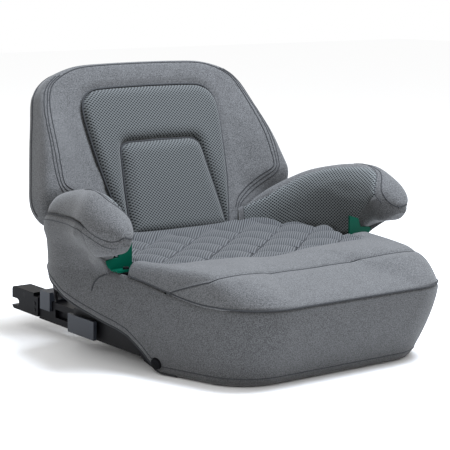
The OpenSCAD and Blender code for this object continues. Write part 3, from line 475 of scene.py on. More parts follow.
def outline_right(level, inset, s):
    """Right half of the outline at a station, for a level from 0 at the floor to 1 at the seam."""
    fy = -BASE_FRONT + TOE_FRONT * toe(level) + FRONT_R
    fr, rr = FRONT_R - inset, REAR_R - inset
    fx = side_x(level, fy) - FRONT_R * SLANT
    rx = side_x(level, REAR_Y) - REAR_R * SLANT
    if s <= FRONT_END:
        return np.array([fx * s / FRONT_END, fy - fr])
    if s <= CORNER_END:
        a = mix(-math.pi / 2, -SIDE_ANGLE, (s - FRONT_END) / (CORNER_END - FRONT_END))
        return arc(fx, fy, fr, a)
    if s <= SIDE_END:
        ends = arc(fx, fy, fr, -SIDE_ANGLE), arc(rx, REAR_Y, rr, -SIDE_ANGLE)
        return mix(*ends, (s - CORNER_END) / (SIDE_END - CORNER_END))
    a = mix(-SIDE_ANGLE, REAR_TURN, (s - SIDE_END) / (REAR_END - SIDE_END))
    return arc(rx, REAR_Y, rr, a)


def hem(p):
    """Height of the skirt's lower edge."""
    return HEM_Z if abs(p[0]) < BASE_W / 4 else np.interp(p[1], ARCH[:, 0], ARCH[:, 1])


def seam(p):
    """Height of the seam round the skirt's top, which climbs towards the belt guides."""
    corner_y = FRONT_R - BASE_FRONT
    return mix(SEAM_Z, THROAT_Z, ease((p[1] - corner_y) / (THROAT_Y - corner_y)))


# Armrest: place, inner and outer reach low down and at mid height, heights of foot, middle and top;
# the place counts from ARM_X, the foot from ARM_SEAT and the top from ARM_TOP
ARM_X, ARM_TOP, ARM_SEAT = 196, 199.5, 110.5
ARM = np.array([
    [7, -91, -7, 2.5, -10, 4, 37, 156, -38],
    [8, -85.5, -14, 5, -18.5, 8.5, 32, 158.5, -29.5],
    [11, -73, -23, 7, -30, 14, 23, 159, -19],
    [14, -53, -27, 11, -35, 20.5, 21, 155, -8.5],
    [10, -42.5, -21, 6, -28, 24, 21.5, 154, -2],
    [6, -34, -20, -1, -26, 23.5, 21, 153, 0],
    [4.5, -29.5, -21, -2, -25.5, 23, 0, 153, 0],
    [-3.5, 0, -20, 5, -22, 21, 0, 152, -1.5],
    [-12, 30, -20, 18, -21, 27, 0, 150, -7],
    [-24, 58, -20, 31, -20, 36, 0, 146, -14.5],
    [-42, 77, -17, 30, -17, 24, 0.5, 134, -27.5],
    [-66, 88, -9, 18, -10, 8, 1, 128, -39.5],
    [-86, 89.5, -6, 3, -6, 3, 2, 126, -50.5],
    [-119, 85.5, -3, 1.5, -3, 1.5, 3, 126, -60]], float) + [ARM_X, 0, 0, 0, 0, 0, ARM_SEAT, 0, ARM_TOP]
ARM_LAST = len(ARM) - 1
BELOW_POWER, ABOVE_POWER, SET_BACK_POWER = 0.36, 0.9, 0.3
AIM = 0.1
# How far the underside leans down on the outside, along the stations
TILT_T, TILT = [3, 4, 5, 5.6], [0, 5.5, 7, 0]


def arm_frame(t):
    """Row of the armrest at a station, and its outward direction."""
    a, b = row_at(ARM, max(0, t - AIM)), row_at(ARM, min(ARM_LAST, t + AIM))
    d = (b - a)[:2]
    d /= np.linalg.norm(d)
    r = row_at(ARM, t)
    i = int(min(ARM_LAST - 1, math.floor(t)))
    r[6] = mix(ARM[i][6], ARM[i + 1][6], t - i)
    return r, np.array([d[1], -d[0]])


NET_T = np.linspace(0, ARM_LAST, 261)
NET_STEP = 2
# Angles of the outer side
OUTER = np.arange(-60, 91, NET_STEP)


def raw_ring(t):
    """Section of the armrest at a station: 0 degrees outside, 90 on top, 180 inside, 270 below."""
    row, out = arm_frame(t)
    x, y, low_in, low_out, mid_in, mid_out, foot, middle, top = row
    a = np.radians(np.arange(0, 360, NET_STEP))
    c, s = np.cos(a), np.sin(a)
    v = np.where(s < 0, np.abs(s) ** BELOW_POWER, 0.0)
    mid = mix((mid_in + mid_out) / 2, (low_in + low_out) / 2, v)
    half = mix((mid_out - mid_in) / 2, (low_out - low_in) / 2, v)
    n = mid + half * signed_pow(c, np.where(s < 0, BELOW_POWER, ABOVE_POWER))
    fall = middle - foot + np.interp(t, TILT_T, TILT) * signed_pow(c, BELOW_POWER)
    z = np.where(s < 0, middle - fall * v, middle + (top - middle) * np.abs(s) ** ABOVE_POWER)
    return np.stack([x + out[0] * n, y + out[1] * n, z], 1)


# Sections of the armrest, softened along its length as padding softens them, and less so near its nose
SOFT_NOSE, SOFT_RISE, SOFT_MOST = 0.8, 0.3, 11.0
RUN = run_along(np.array([row_at(ARM, t)[:2] for t in NET_T]))
SOFT = np.minimum(SOFT_MOST, SOFT_NOSE + SOFT_RISE * RUN)[:, None]
SHARE = np.exp(-0.5 * ((RUN[:, None] - RUN[None, :]) / SOFT) ** 2) * np.gradient(RUN)[None, :]
SHARE /= SHARE.sum(1, keepdims=True)
ARM_NET = np.einsum("ij,jkc->ikc", SHARE, np.array([raw_ring(t) for t in NET_T]))
ARM_OUT = SHARE @ np.array([arm_frame(t)[1] for t in NET_T])


def net_ring(t):
    """Softened section at a station, and its outward direction."""
    k = clamp(t / ARM_LAST) * (len(NET_T) - 1)
    i = int(min(len(NET_T) - 2, k))
    return mix(ARM_NET[i], ARM_NET[i + 1], k - i), mix(ARM_OUT[i], ARM_OUT[i + 1], k - i)


def arm_wall(t, z, lift=0.0):
    """Point of the armrest's outer side at a height."""
    ring, out = net_ring(t)
    wall = ring[OUTER // NET_STEP]
    x, y = (np.interp(z, wall[:, 2], wall[:, k]) for k in (0, 1))
    return np.array([x + out[0] * lift, y + out[1] * lift, z])


def arm_point(t, a, shrink=0.0):
    """Point of the armrest's surface at a station and an angle, set back by shrink on the outside."""
    ring, out = net_ring(t)
    k = (a % 360) / NET_STEP
    i = int(k) % len(ring)
    p = mix(ring[i], ring[(i + 1) % len(ring)], k - int(k))
    c = math.cos(math.radians(a))
    if shrink and c > 0:
        p = p - np.array([*out, 0]) * shrink * c**SET_BACK_POWER
    return p


def sided(points, side):
    return np.array(points, float) * [side, 1, 1]


# Height of the cap seam on the outside, along the stations
CAP_T = [0, 0.8, 1.65, 2.25, 2.55, 2.95, 3.6, 5, 7.1, 7.8, 8.3, 8.9, 9.5, 10]
CAP_Z = [155, 152.7, 150.8, 153.3, 157, 162.5, 166, 167.5, 166.6, 166.2, 165.6, 162, 156, 151]


def cap_angle(t):
    """Angle at which the cap seam crosses a section of the armrest."""
    return np.interp(curve(t, CAP_T, CAP_Z), net_ring(t)[0][OUTER // NET_STEP, 2], OUTER)


# Skirt of the base with the side panels that run on up to the cap seam
SIDE_FROM, SIDE_TO, PANEL_FROM, PANEL_FOOT = 3.0, 10.9, -34.0, 106.0
PANEL_LEAD, PANEL_LEAD_RUN = 12, 60
NEAREST_FROM, NEAREST_RUN = 10, 30
WALL_T = np.linspace(SIDE_FROM, SIDE_TO, 151)
WALL = np.array([arm_point(t, 0)[:2] for t in WALL_T])
STRAIGHT = 90
SKIRT_ROWS, PANEL_ROWS = 30, 22
HEM_ROLL, HEM_WIDTH, SEAM_ROLL, SEAM_WIDTH, BELLY = 1.6, 3.0, 2.4, 3.4, 0.8
BULGE, BULGE_FROM, BULGE_RUN, BULGE_END = 2.2, 132, 14, 7
WALL_POWER, HUG_POWER, HUG_ANGLE = 1.3, 1.5, -60
HUG_HOLD, HUG_RUN, HUG_SINK, HUG_SINK_RUN = 0.8, 1.4, 0.5, 0.9
# Steps by which the front edge of a side panel turns in towards the belt guide
TURN_IN = (-0.8, -1.2), (-2.4, -1.6), (-4.4, -0.8), (-6.0, 1.0), (-9.0, 3.0)
SKIRT_THICK = 0.003
HEM_TRIES, HEM_SHARE, OFFSET = 8, 0.6, 6


def column_station(p):
    """Armrest station above an outline point: level with it, ahead in front, nearest at the rear."""
    lead = PANEL_LEAD * (1 - ease((p[1] - PANEL_FROM) / PANEL_LEAD_RUN))
    level = np.interp(p[1] - lead, WALL[:STRAIGHT, 1], WALL_T[:STRAIGHT])
    nearest = WALL_T[np.linalg.norm(WALL - p, axis=1).argmin()]
    return mix(level, nearest, ease((p[1] - NEAREST_FROM) / NEAREST_RUN))


def panel_column(s, foot):
    """Points of a side panel from its foot up to the cap seam; its front hugs the armrest from below."""
    t = column_station(outline_right(1, 0, s))
    wall, brim, corner = arm_point(t, 0), arm_point(t, cap_angle(t)), arm_point(t, HUG_ANGLE)
    front = 1 - ease((t - SIDE_FROM - HUG_HOLD) / HUG_RUN)
    out = net_ring(t)[1]
    points = []
    for k in range(1, PANEL_ROWS + 1):
        z = mix(foot[2], brim[2], k / PANEL_ROWS)
        rise = clamp((z - foot[2]) / max(1.0, wall[2] - foot[2]))
        q = arm_wall(t, z) if z > wall[2] else mix(foot, wall, rise**WALL_POWER)
        bulge = BULGE * float(ease((z - BULGE_FROM) / BULGE_RUN) * ease((brim[2] - z) / BULGE_END))
        q = q + [bulge * out[0], bulge * out[1], 0]
        rise = clamp((z - foot[2]) / max(1.0, corner[2] - foot[2]))
        hug = mix(foot, corner, rise**HUG_POWER)
        if z > corner[2]:
            hug = arm_wall(t, z, -HUG_SINK * (1 - ease((t - SIDE_FROM) / HUG_SINK_RUN)))
        q = mix(q, hug, front)
        points.append([q[0], q[1], z])
    return np.array(points)


def skirt_column(s, side):
    """Points of the skirt from hem to seam at a station, and of any side panel above them."""
    top = outline_right(1, 0, s)
    # the edge's height depends on where it is, so it is found in a few steps
    low = HEM_Z
    for _ in range(HEM_TRIES):
        low = mix(low, hem(outline_right(low / SEAM_Z, 0, s)), HEM_SHARE)
    panel = top[1] > PANEL_FROM
    high = PANEL_FOOT if panel else seam(top)
    f = np.linspace(0, 1, SKIRT_ROWS)
    pts = np.array([[*outline_right(clamp(z / SEAM_Z), 0, s), z] for z in mix(low, high, f)])
    # a soft belly, and edges that roll in at the hem and at the seam
    away = np.array([*(top - outline_right(1, OFFSET, s)), 0]) / OFFSET
    height = high - low
    roll = BELLY * np.sin(math.pi * f) - HEM_ROLL * np.exp(-((f * height / HEM_WIDTH) ** 2))
    if not panel:
        roll = roll - SEAM_ROLL * np.exp(-(((1 - f) * height / SEAM_WIDTH) ** 2))
    pts = pts + away * roll[:, None]
    upper = sided(panel_column(s, pts[-1]), side) if panel else None
    return sided(pts, side), upper


def build_skirt():
    stops = spans([0, FRONT_END, CORNER_END, SIDE_END, REAR_END], [22, 30, 90, 30])[1:]
    cols = [(s, LEFT) for s in stops[::-1]] + [(0.0, RIGHT)] + [(s, RIGHT) for s in stops]
    grid, upper = zip(*(skirt_column(s, side) for s, side in cols))
    verts = [p for g in grid for p in g]
    faces = grid_faces(len(cols), SKIRT_ROWS, flip=True)
    index = {}
    for c, u in enumerate(upper):
        if u is not None:
            index[c] = [(c + 1) * SKIRT_ROWS - 1] + list(range(len(verts), len(verts) + PANEL_ROWS))
            verts += list(u)
    for c in range(len(cols) - 1):
        if c in index and c + 1 in index:
            a, b = index[c], index[c + 1]
            faces += [(a[k], b[k], b[k + 1], a[k + 1]) for k in range(PANEL_ROWS)]
    for c in index:
        side = cols[c][1]
        if c - side in index:
            continue
        ring = index[c]
        for dx, dy in TURN_IN:
            start = len(verts)
            verts += [np.array(verts[v], float) + [side * dx, dy, 0] for v in index[c]]
            fresh = list(range(start, start + len(ring)))
            strip = [(ring[k], ring[k + 1], fresh[k + 1], fresh[k]) for k in range(len(ring) - 1)]
            faces += strip if side == RIGHT else [q[::-1] for q in strip]
            ring = fresh
    # The skirt's fabric is the melange darkened as painted shade.
    o = make_piece("skirt_cover_soft", verts, faces, "base", SKIRT, ["skirt_cover"])
    return o, grid


skirt, skirt_grid = build_skirt()

# Seat pads between the seam and the quilted panel
PAD_INSET, PAD_REACH, GUIDE_FRONT, PANEL_GAP = 4.2, 3.4, -52, 1
QUILT_FRONT, QUILT_HALF, QUILT_CORNER = 86, 150, 20
FRONT_SHARE, CORNER_SHARE = 0.55, 0.9
SEAT_Z, RIM_Z = 115, 121
FRONT_POWER, SIDE_POWER = 1.8, 7.0
PAD_DIP, PAD_DIP_WIDTH, PAD_CROWN = 2.6, 6.5, 1.5
BOLSTER_PULL, SURROUND_PULL = 2.6, 0.6
PAD_LAST = max(s for s in range(14, 26) if outline_right(1, PAD_INSET, s)[1] < GUIDE_FRONT - PANEL_GAP)
BOLSTER_LAST = 17.0


def quilt_edge(f):
    """Front and side edge of the quilted panel on the right, from 0 in the middle to 1 at the belt guide."""
    r, cx, cy = QUILT_CORNER + PANEL_GAP, QUILT_HALF - QUILT_CORNER, -QUILT_FRONT + QUILT_CORNER
    if f < FRONT_SHARE:
        return np.array([cx * f / FRONT_SHARE, cy - r])
    if f < CORNER_SHARE:
        a = mix(-math.pi / 2, 0, (f - FRONT_SHARE) / (CORNER_SHARE - FRONT_SHARE))
        return arc(cx, cy, r, a)
    return np.array([cx + r, mix(cy, GUIDE_FRONT - PANEL_GAP, (f - CORNER_SHARE) / (1 - CORNER_SHARE))])


def pad_z(o, r):
    """Height of the pads, a share r of the way in from an outline point."""
    power = mix(FRONT_POWER, SIDE_POWER, ease((abs(o[0]) - BASE_W / 4) / (BASE_W / 4)))
    return mix(seam(o), mix(SEAT_Z, RIM_Z, ease(abs(o[0]) / (BASE_W / 2))), 1 - (1 - r) ** power)


# Where the bolster meets the surround, as a share of the way in, along the stations
REAR_S = [0, 2, 3.5, 5, 8, 11, 14, 15.2, 16.5, BOLSTER_LAST]
REAR_SHARE = [0.585, 0.575, 0.545, 0.49, 0.395, 0.29, 0.16, 0.1, 0.03, 0]


def bolster_end(s):
    return max(0.0, curve(abs(s), REAR_S, REAR_SHARE))


def pad_point(s, r):
    side = LEFT if s < 0 else RIGHT
    o = outline_right(1, PAD_INSET - PAD_REACH, abs(s))
    q = quilt_edge(abs(s) / PAD_LAST)
    p = mix(o, q, r)
    return np.array([side * p[0], p[1], pad_z(o, r)])


def pad_grid(stops, r0, r1, count):
    shares = np.linspace(0, 1, count)
    return np.array([[pad_point(s, mix(r0(s), r1(s), k)) for k in shares] for s in stops])


def dipped(grid, depth, edges, width, pull=0.0, crown=0.0):
    """Lowers a grid of points towards the named edges, as a seam pulls padding in."""
    out = grid.copy()
    run_n, run_m = run_along(grid, 1), run_along(grid, 0)
    away = {"n0": run_n, "n1": run_n[:, -1:] - run_n, "m0": run_m}
    near = np.min([away[e] for e in edges], axis=0)
    out[:, :, 2] += crown * ease(near / (3 * width)) - depth * (1 - rounded(near / width))
    if pull:
        inward = grid[:, grid.shape[1] // 3] - grid[:, 0]
        inward[:, 2] = 0
        out += unit(inward)[:, None, :] * (pull * (1 - rounded(run_n / width)))[:, :, None]
    return out


PAD_TUCK = 9.0


def soft_grid(name, grid, material, replaces, flip):
    """A padded piece of the base from a grid of top points, with a wall turned down all round."""
    m, n = grid.shape[:2]
    ring = [(0, j) for j in range(n)] + [(i, n - 1) for i in range(1, m)]
    ring += [(m - 1, j) for j in range(n - 2, -1, -1)] + [(i, 0) for i in range(m - 2, 0, -1)]
    verts = list(grid.reshape(-1, 3))
    faces = grid_faces(m, n, flip=flip)
    base = len(verts)
    verts += [grid[i, j] - [0, 0, PAD_TUCK] for i, j in ring]
    for e in range(len(ring)):
        f = (e + 1) % len(ring)
        a, b = (i * n + j for i, j in (ring[e], ring[f]))
        face = (a, base + e, base + f, b)
        faces.append(face if flip else face[::-1])
    o = make_piece(name, verts, faces, "base", material, replaces, uv=[p[:2] for p in verts])
    return o


pad_stops, bolster_stops = both_ways(PAD_LAST, 76), both_ways(BOLSTER_LAST, 66)


def surround_start(s):
    return bolster_end(s) if abs(s) < BOLSTER_LAST else 0.0


bolster_grid = pad_grid(bolster_stops, lambda s: 0.0, bolster_end, 34)
bolster_grid = dipped(bolster_grid, PAD_DIP, ("n0", "n1"), PAD_DIP_WIDTH, BOLSTER_PULL, PAD_CROWN)
soft_grid("front_bolster_soft", bolster_grid, MELANGE, ["front_bolster"], True)
surround_grid = pad_grid(pad_stops, surround_start, lambda s: 1.0, 30)
surround_grid = dipped(surround_grid, PAD_DIP, ("n0", "n1"), PAD_DIP_WIDTH, SURROUND_PULL, PAD_CROWN)
soft_grid("seat_surround_soft", surround_grid, MELANGE, ["seat_surround"], True)

# Quilted panel
BACK_Y, BACK_Z, RECLINE = 90, 119, math.radians(22)
# Inner foot of the armrest, from its middle line
ARM_FOOT = np.array([
    [-19, -25.5], [0, -27], [24, -32], [47, -42], [65, -54], [79, -70], [84, -86], [90, -102]], float)
QUILT_RISE, QUILT_UNDER, QUILT_DIP, QUILT_DIP_WIDTH = 3, 3, 3.0, 5.0
QUILT_BACK_GAP, QUILT_SIDE_RISE, QUILT_EDGE, QUILT_EDGE_RUN = 2.5, 0.7, 0.5, 14
QUILT_REAR = BACK_Y + (SEAT_Z + QUILT_RISE - BACK_Z) * math.tan(RECLINE) - QUILT_BACK_GAP
PUFF_X, PUFF_Y, PUFF_H, PUFF_POWER, PUFF_SINK = 66.0, 56.0, 7.6, 0.46, 3.8
REAR_FROM, REAR_LIFT = 0.86, 7.0


def quilt_half(y):
    """Half the width of the quilted panel: flared with the base, and held in by the armrests."""
    flared = QUILT_HALF + FLARE * max(0, y + QUILT_FRONT - QUILT_CORNER)
    foot = ARM_X + np.interp(y, ARM_FOOT[:, 0], ARM_FOOT[:, 1])
    return min(flared, foot) - PANEL_GAP


def quilt_lines(x, y):
    """Zero on the stitch lines of the quilting, largest in the middle of a puff."""
    a, b = x / PUFF_X + y / PUFF_Y, x / PUFF_X - y / PUFF_Y
    return abs(math.sin(math.pi * a) * math.sin(math.pi * b))


def quilt_point(u, v):
    x = u * quilt_half(mix(-QUILT_FRONT, QUILT_REAR, v))
    e = max(0.0, abs(x) - (QUILT_HALF - QUILT_CORNER))
    y0 = -QUILT_FRONT + QUILT_CORNER - math.sqrt(max(0.0, QUILT_CORNER**2 - e * e))
    y = mix(y0 - QUILT_UNDER, QUILT_REAR, v)
    z = mix(SEAT_Z, RIM_Z, QUILT_SIDE_RISE * abs(u) ** 3) + QUILT_RISE * ease(v)
    puffed = PUFF_H * quilt_lines(x, y) ** PUFF_POWER - PUFF_SINK
    puffed = mix(QUILT_EDGE, puffed, ease((y - y0) / QUILT_EDGE_RUN))
    return np.array([x, y, z + mix(puffed, REAR_LIFT, ease((v - REAR_FROM) / (1 - REAR_FROM)))])


quilt_grid = np.array([[quilt_point(u, v) for u in np.linspace(-1, 1, 210)] for v in np.linspace(0, 1, 130)])
quilt_grid = dipped(quilt_grid, QUILT_DIP, ("n0", "n1", "m0"), QUILT_DIP_WIDTH)
quilt = soft_grid("seat_quilt_soft", quilt_grid, RIBBED, ["seat_quilt"], False)

# Armrest sleeves
ARM_STOPS = spans([0, 2, 5, 6.2, 10, ARM_LAST], [22, 26, 14, 40, 22])
ARM_N = 84
SEAM_PULL, SEAM_PULL_WIDTH = 1.3, 2.2
# Stations from which the side panel covers the outside, and how far the sleeve sets back under it
UNDER_FROM, UNDER_RUN, UNDER_BACK = 3.2, 0.7, 2.5
# Share and step ahead of each ring of the nose, and its tip
NOSE = (0.86, -0.8), (0.66, -1.6), (0.42, -2.2), (0.18, -2.5)
NOSE_TIP = -2.55
# How far from a seam the padding stays put, and where along the stations that holds
HOLD_NEAR, HOLD_RUN, HOLD_ARC, PULL_ARC = 1.5, 3.5, 0.45, 0.5
NOSE_FROM, NOSE_RUN, LOW_FROM, LOW_RUN, MESH_FROM = 0.1, 2.2, 1.8, 0.9, 2
MESH_LEAST, MESH_MOST, OFF_MESH, FAR = 92, 262, -5.0, 99
# Edge of the mesh on the inside: station and height
MESH_EDGE = [
    (2.15, 166), (2.25, 170.5), (2.5, 179.2), (2.95, 187.2), (3.65, 192.4), (4.35, 195.4), (5.2, 197),
    (6.4, 197.3), (7.15, 195.2), (8.03, 190), (8.95, 182), (9.95, 169), (11, 154), (12.5, 143), (12.5, 95),
    (6.3, 95), (6.0, 138), (5.2, 146), (4.2, 152), (3.25, 158), (2.5, 163.5)]


def run_at(t):
    return np.interp(t, NET_T, RUN)


MESH_FLAT = np.array([(run_at(t), z) for t, z in MESH_EDGE])


def zone_value(t, a, z):
    """Positive where the inner side of a sleeve is mesh: distance in from the edge of the mesh."""
    if not MESH_LEAST < a < MESH_MOST:
        return OFF_MESH
    p = np.array([run_at(t), z])
    a0, b0 = MESH_FLAT, np.roll(MESH_FLAT, -1, 0)
    d = b0 - a0
    f = clamp(((p - a0) * d).sum(1) / (d * d).sum(1))
    far = np.linalg.norm(a0 + d * f[:, None] - p, axis=1).min()
    cross = (a0[:, 1] > p[1]) != (b0[:, 1] > p[1])
    at = a0[:, 0] + (p[1] - a0[:, 1]) / np.where(d[:, 1] == 0, TINY, d[:, 1]) * d[:, 0]
    inside = np.count_nonzero(cross & (p[0] < at)) % 2 == 1
    return far if inside else -far


# Seam round the inside of the nose, and the stitching along the mesh
INNER_SEAM = [
    (198, -5, 199), (198.5, -26, 199.3), (199.5, -40, 197.5), (199, -51.5, 192.3), (194.3, -59.2, 186.4),
    (187.9, -65.6, 179.2), (184, -70.4, 172), (183.9, -75.6, 165.7), (185.4, -80, 160.7), (189.6, -85, 155.8),
    (194, -89.5, 154), (199.5, -92.5, 155), (204.5, -92, 156.5)]
MESH_STITCH = [
    (197.9, -32, 199.1), (196, -42.8, 196.6), (194, -50, 192.9), (190.2, -55.1, 187.6), (183.7, -59.6, 179.2),
    (179.5, -63.2, 170.5), (178.9, -65.6, 166.2), (180, -71, 160.9), (182, -73, 157.2)]


def sleeve_net():
    """Sections of a sleeve, with each point's mesh value and the share by which the padding stays put."""
    angles = (np.arange(ARM_N) + 0.5) * 360 / ARM_N
    rings, zone, held = [], [], []
    for t in ARM_STOPS:
        cap = cap_angle(t)
        ring, pull = [], []
        for a in angles:
            turn = a if a < 270 else a - 360
            under = t > UNDER_FROM and -90 < turn < cap
            p = arm_point(t, a, UNDER_BACK * ease((t - UNDER_FROM) / UNDER_RUN) if under else 0.0)
            ring.append(p)
            zone.append(zone_value(t, a, p[2]))
            gap = min(abs(turn - cap) * HOLD_ARC, abs(zone[-1]) if t > MESH_FROM else FAR)
            free = ease((gap - HOLD_NEAR) / HOLD_RUN) * ease((t - NOSE_FROM) / NOSE_RUN)
            stay = 1.0 if under else 1 - free
            if turn < cap:
                stay = max(stay, ease((t - LOW_FROM) / LOW_RUN))
            held.append(stay)
            gap = min(abs(turn - cap) * PULL_ARC, abs(zone[-1]))
            pull.append(SEAM_PULL * math.exp(-((gap / SEAM_PULL_WIDTH) ** 2)))
        # the seams draw the padding in
        away = unit(np.array(ring) - np.mean(ring, 0))
        rings.append(np.array(ring) - away * np.array(pull)[:, None])
    return np.array(rings), zone, held


def build_sleeve(side):
    grid, zone, held = sleeve_net()
    m = len(grid)
    first, last = grid[0].mean(0), grid[-1].mean(0)
    verts = list(grid.reshape(-1, 3))
    for share, ahead in NOSE:
        verts += list(first + (grid[0] - first) * share + [0, ahead, 0])
    verts += [first + [0, NOSE_TIP, 0], last]
    more = len(verts) - len(zone)
    zone, held = zone + [-1] * more, held + [1] * more
    tip, end = len(verts) - 2, len(verts) - 1
    faces = grid_faces(m, ARM_N, close_n=True)
    edge = 0
    for n in range(len(NOSE)):
        b = (m + n) * ARM_N
        for k in range(ARM_N):
            j = (k + 1) % ARM_N
            faces.append((edge + j, b + j, b + k, edge + k))
        edge = b
    faces += fan(edge, ARM_N, tip, flip=True) + fan((m - 1) * ARM_N, ARM_N, end)
    run = run_along(grid[:, ARM_N // 2])
    around = run_along(grid, 1)
    uv = [(run[i], around[i, k] - around[i, ARM_N // 2]) for i in range(m) for k in range(ARM_N)]
    uv += [(0, 0)] * more
    if side == LEFT:
        faces = [f[::-1] for f in faces]
    node = "armrest_cover_left" if side == LEFT else "armrest_cover_right"
    verts = sided(verts, side)
    o = make_piece(f"{node}_soft", verts, faces, "base", SLEEVE, [node], uv, zone)
    puff(o, held)
    return o


sleeves = {side: build_sleeve(side) for side in (LEFT, RIGHT)}

# Backrest
BACK_H, BACK_W, BACK_TOP_W, BACK_T, BACK_MID = 222, 368, 294, 26, 100
MESH_W, CENTRE_W, NECK, NECK_FOOT = 200, 120, 93, -6
WING_H, WING_LOW, WING_ROLL, WING_TUCK, WING_RUN = 64, 51, 16, 8, 62
WING_FOOT, WING_RISE, WING_FADE, WING_FADE_RUN = 20, 50, 100, 100
BACK_POINTS = 150
MESH_DIP, MESH_DIP_WIDTH = 3.0, 7


def back_place(x, h, w):
    """From the backrest's own plane to the shared frame: across, up along it and out of it."""
    c, s = math.cos(RECLINE), math.sin(RECLINE)
    return np.array([x, BACK_Y + h * s - w * c, BACK_Z + h * c + w * s])


def width_at(f):
    return mix(BACK_TOP_W, BACK_W, f) / 2


def height_at(f):
    return mix(BACK_H, WING_H, f)


# Outline on the right, from the top down to the neck
BACK_HALF = [
    [0, BACK_H], [0.17 * BACK_TOP_W, BACK_H - 0.5], [0.31 * BACK_TOP_W, BACK_H - 2.5],
    [0.41 * BACK_TOP_W, BACK_H - 10], [0.468 * BACK_TOP_W, BACK_H - 19], [BACK_TOP_W / 2, BACK_H - 29],
    [width_at(0.18), height_at(0.26)], [width_at(0.365), height_at(0.42)], [width_at(0.58), height_at(0.6)],
    [width_at(0.85), height_at(0.85)], [BACK_W / 2, WING_H], [BACK_W / 2, WING_LOW],
    [BACK_W / 2 - 5, WING_LOW - 12], [BACK_W / 2 - 14, WING_LOW - 20], [BACK_W / 2 - 34, WING_LOW - 23],
    [NECK + 34, WING_LOW - 25], [NECK + 16, WING_LOW - 31], [NECK + 6, WING_LOW - 41], [NECK, 0],
    [NECK, NECK_FOOT], [NECK - 8, NECK_FOOT], [0, NECK_FOOT]]


def back_outline(count):
    half = even_line(smooth_line(BACK_HALF[:-2], 240), count)
    low = even_line(BACK_HALF[-3:], 16)[1:]
    right = np.concatenate([half, low])
    left = right[1:-1][::-1] * [-1, 1]
    return np.concatenate([right, left])


def wing_front(x, h):
    """How far the wings roll forward of the backrest's plane, and tuck back below."""
    out = ease((abs(x) - MESH_W / 2) / WING_RUN)
    up = ease((h - WING_FOOT) / WING_RISE)
    fade = 1 - ease((h - WING_FADE) / WING_FADE_RUN)
    return out * (WING_ROLL * up * fade - WING_TUCK * (1 - up))


# Rings of the back pad, from its rear round to its front: share of the outline, depth, share of the wing roll
BACK_RINGS = np.array([
    [0.3, -BACK_T, 0], [0.6, -BACK_T, 0], [0.975, -BACK_T, 0], [1, -BACK_T + 6, 0.15], [1, -8, 0.6],
    [0.99, -3, 0.9], [0.965, -0.2, 1], [0.92, 0.8, 1], [0.84, 0.6, 1], [0.76, 0.2, 1], [0.68, 0, 1],
    [0.62, 0, 1], [MESH_W / BACK_W, 0, 0]])
BACK_RING_STOPS, FACE_FROM = spans([0, 2, 7, 12], [5, 34, 26]), 5
PAD_LOW, MESH_TOP, CENTRE_TOP = 3, 188, 118
# Outer and inner edge of the mesh surround on the right, counted from the half widths, from below up
MESH_ROWS = np.array([
    [-25, PAD_LOW, 10, PAD_LOW], [-18, 30, 9, 26], [-10, 65, 6, 56], [-3, 115, 2, 88], [0, 155, 0, 104],
    [-4, 174, -4, 113], [-17, 185, -14, 117.5], [-40, MESH_TOP, -32, CENTRE_TOP],
    [-MESH_W / 2, MESH_TOP + 1, -CENTRE_W / 2, CENTRE_TOP + 0.5]], float) + [MESH_W / 2, 0, CENTRE_W / 2, 0]


def mesh_band(count):
    """Rows of outer and inner edge points, from the lower left over the top to the lower right."""
    right = smooth_line(MESH_ROWS, count)
    return np.concatenate([right * [-1, 1, -1, 1], right[::-1][1:]])


BAND = mesh_band(70)


def build_back_pad():
    outline = back_outline(BACK_POINTS)
    m, n = len(BACK_RING_STOPS), len(outline)
    verts = []
    for t in BACK_RING_STOPS:
        s, w, roll = row_at(BACK_RINGS, t)
        s = min(s, 1.0)
        for x, h in outline:
            px, ph = x * s, mix(BACK_MID, h, s)
            front = wing_front(px, ph) * roll
            if t > FACE_FROM:
                gap = np.linalg.norm(BAND[:, :2] - [px, ph], axis=1).min()
                front -= MESH_DIP * math.exp(-((gap / MESH_DIP_WIDTH) ** 2))
            verts.append(back_place(px, ph, w + front))
    verts += [back_place(0, BACK_MID, -BACK_T), back_place(0, BACK_MID, 0)]
    faces = grid_faces(m, n, close_n=True, flip=True)
    faces += fan(0, n, m * n, flip=True) + fan((m - 1) * n, n, m * n + 1)
    o = make_piece("back_pad_soft", verts, faces, "backrest", MELANGE, ["back_pad"])
    return o


back_pad = build_back_pad()

# Mesh pads of the backrest
CROWN, CENTRE_CROWN, EDGE_W = 8.0, 10.5, -2.5
CROWN_RUN, CENTRE_CROWN_RUN, PAD_PARTING, CENTRE_MID = 15, 18, 1.2, 0.42


def mesh_pad(name, flat, heights, faces, node):
    """A mesh pad from points in the backrest's plane and their heights out of it."""
    verts = [back_place(x, h, w) for (x, h), w in zip(flat, heights)]
    o = make_piece(name, verts, faces, "backrest", MESH, [node], uv=flat)


def build_surround():
    flat, heights = [], []
    steps = 22
    for r in BAND:
        wide = math.hypot(r[0] - r[2], r[1] - r[3])
        parting = PAD_PARTING / wide
        for k in np.linspace(parting, 1, steps):
            d = min(k - parting, 1 - k) * wide
            flat.append((mix(r[2], r[0], k), mix(r[3], r[1], k)))
            heights.append(mix(EDGE_W, CROWN, rounded(d / CROWN_RUN)))
    mesh_pad("back_mesh_surround_soft", flat, heights, grid_faces(len(BAND), steps), "back_mesh_surround")


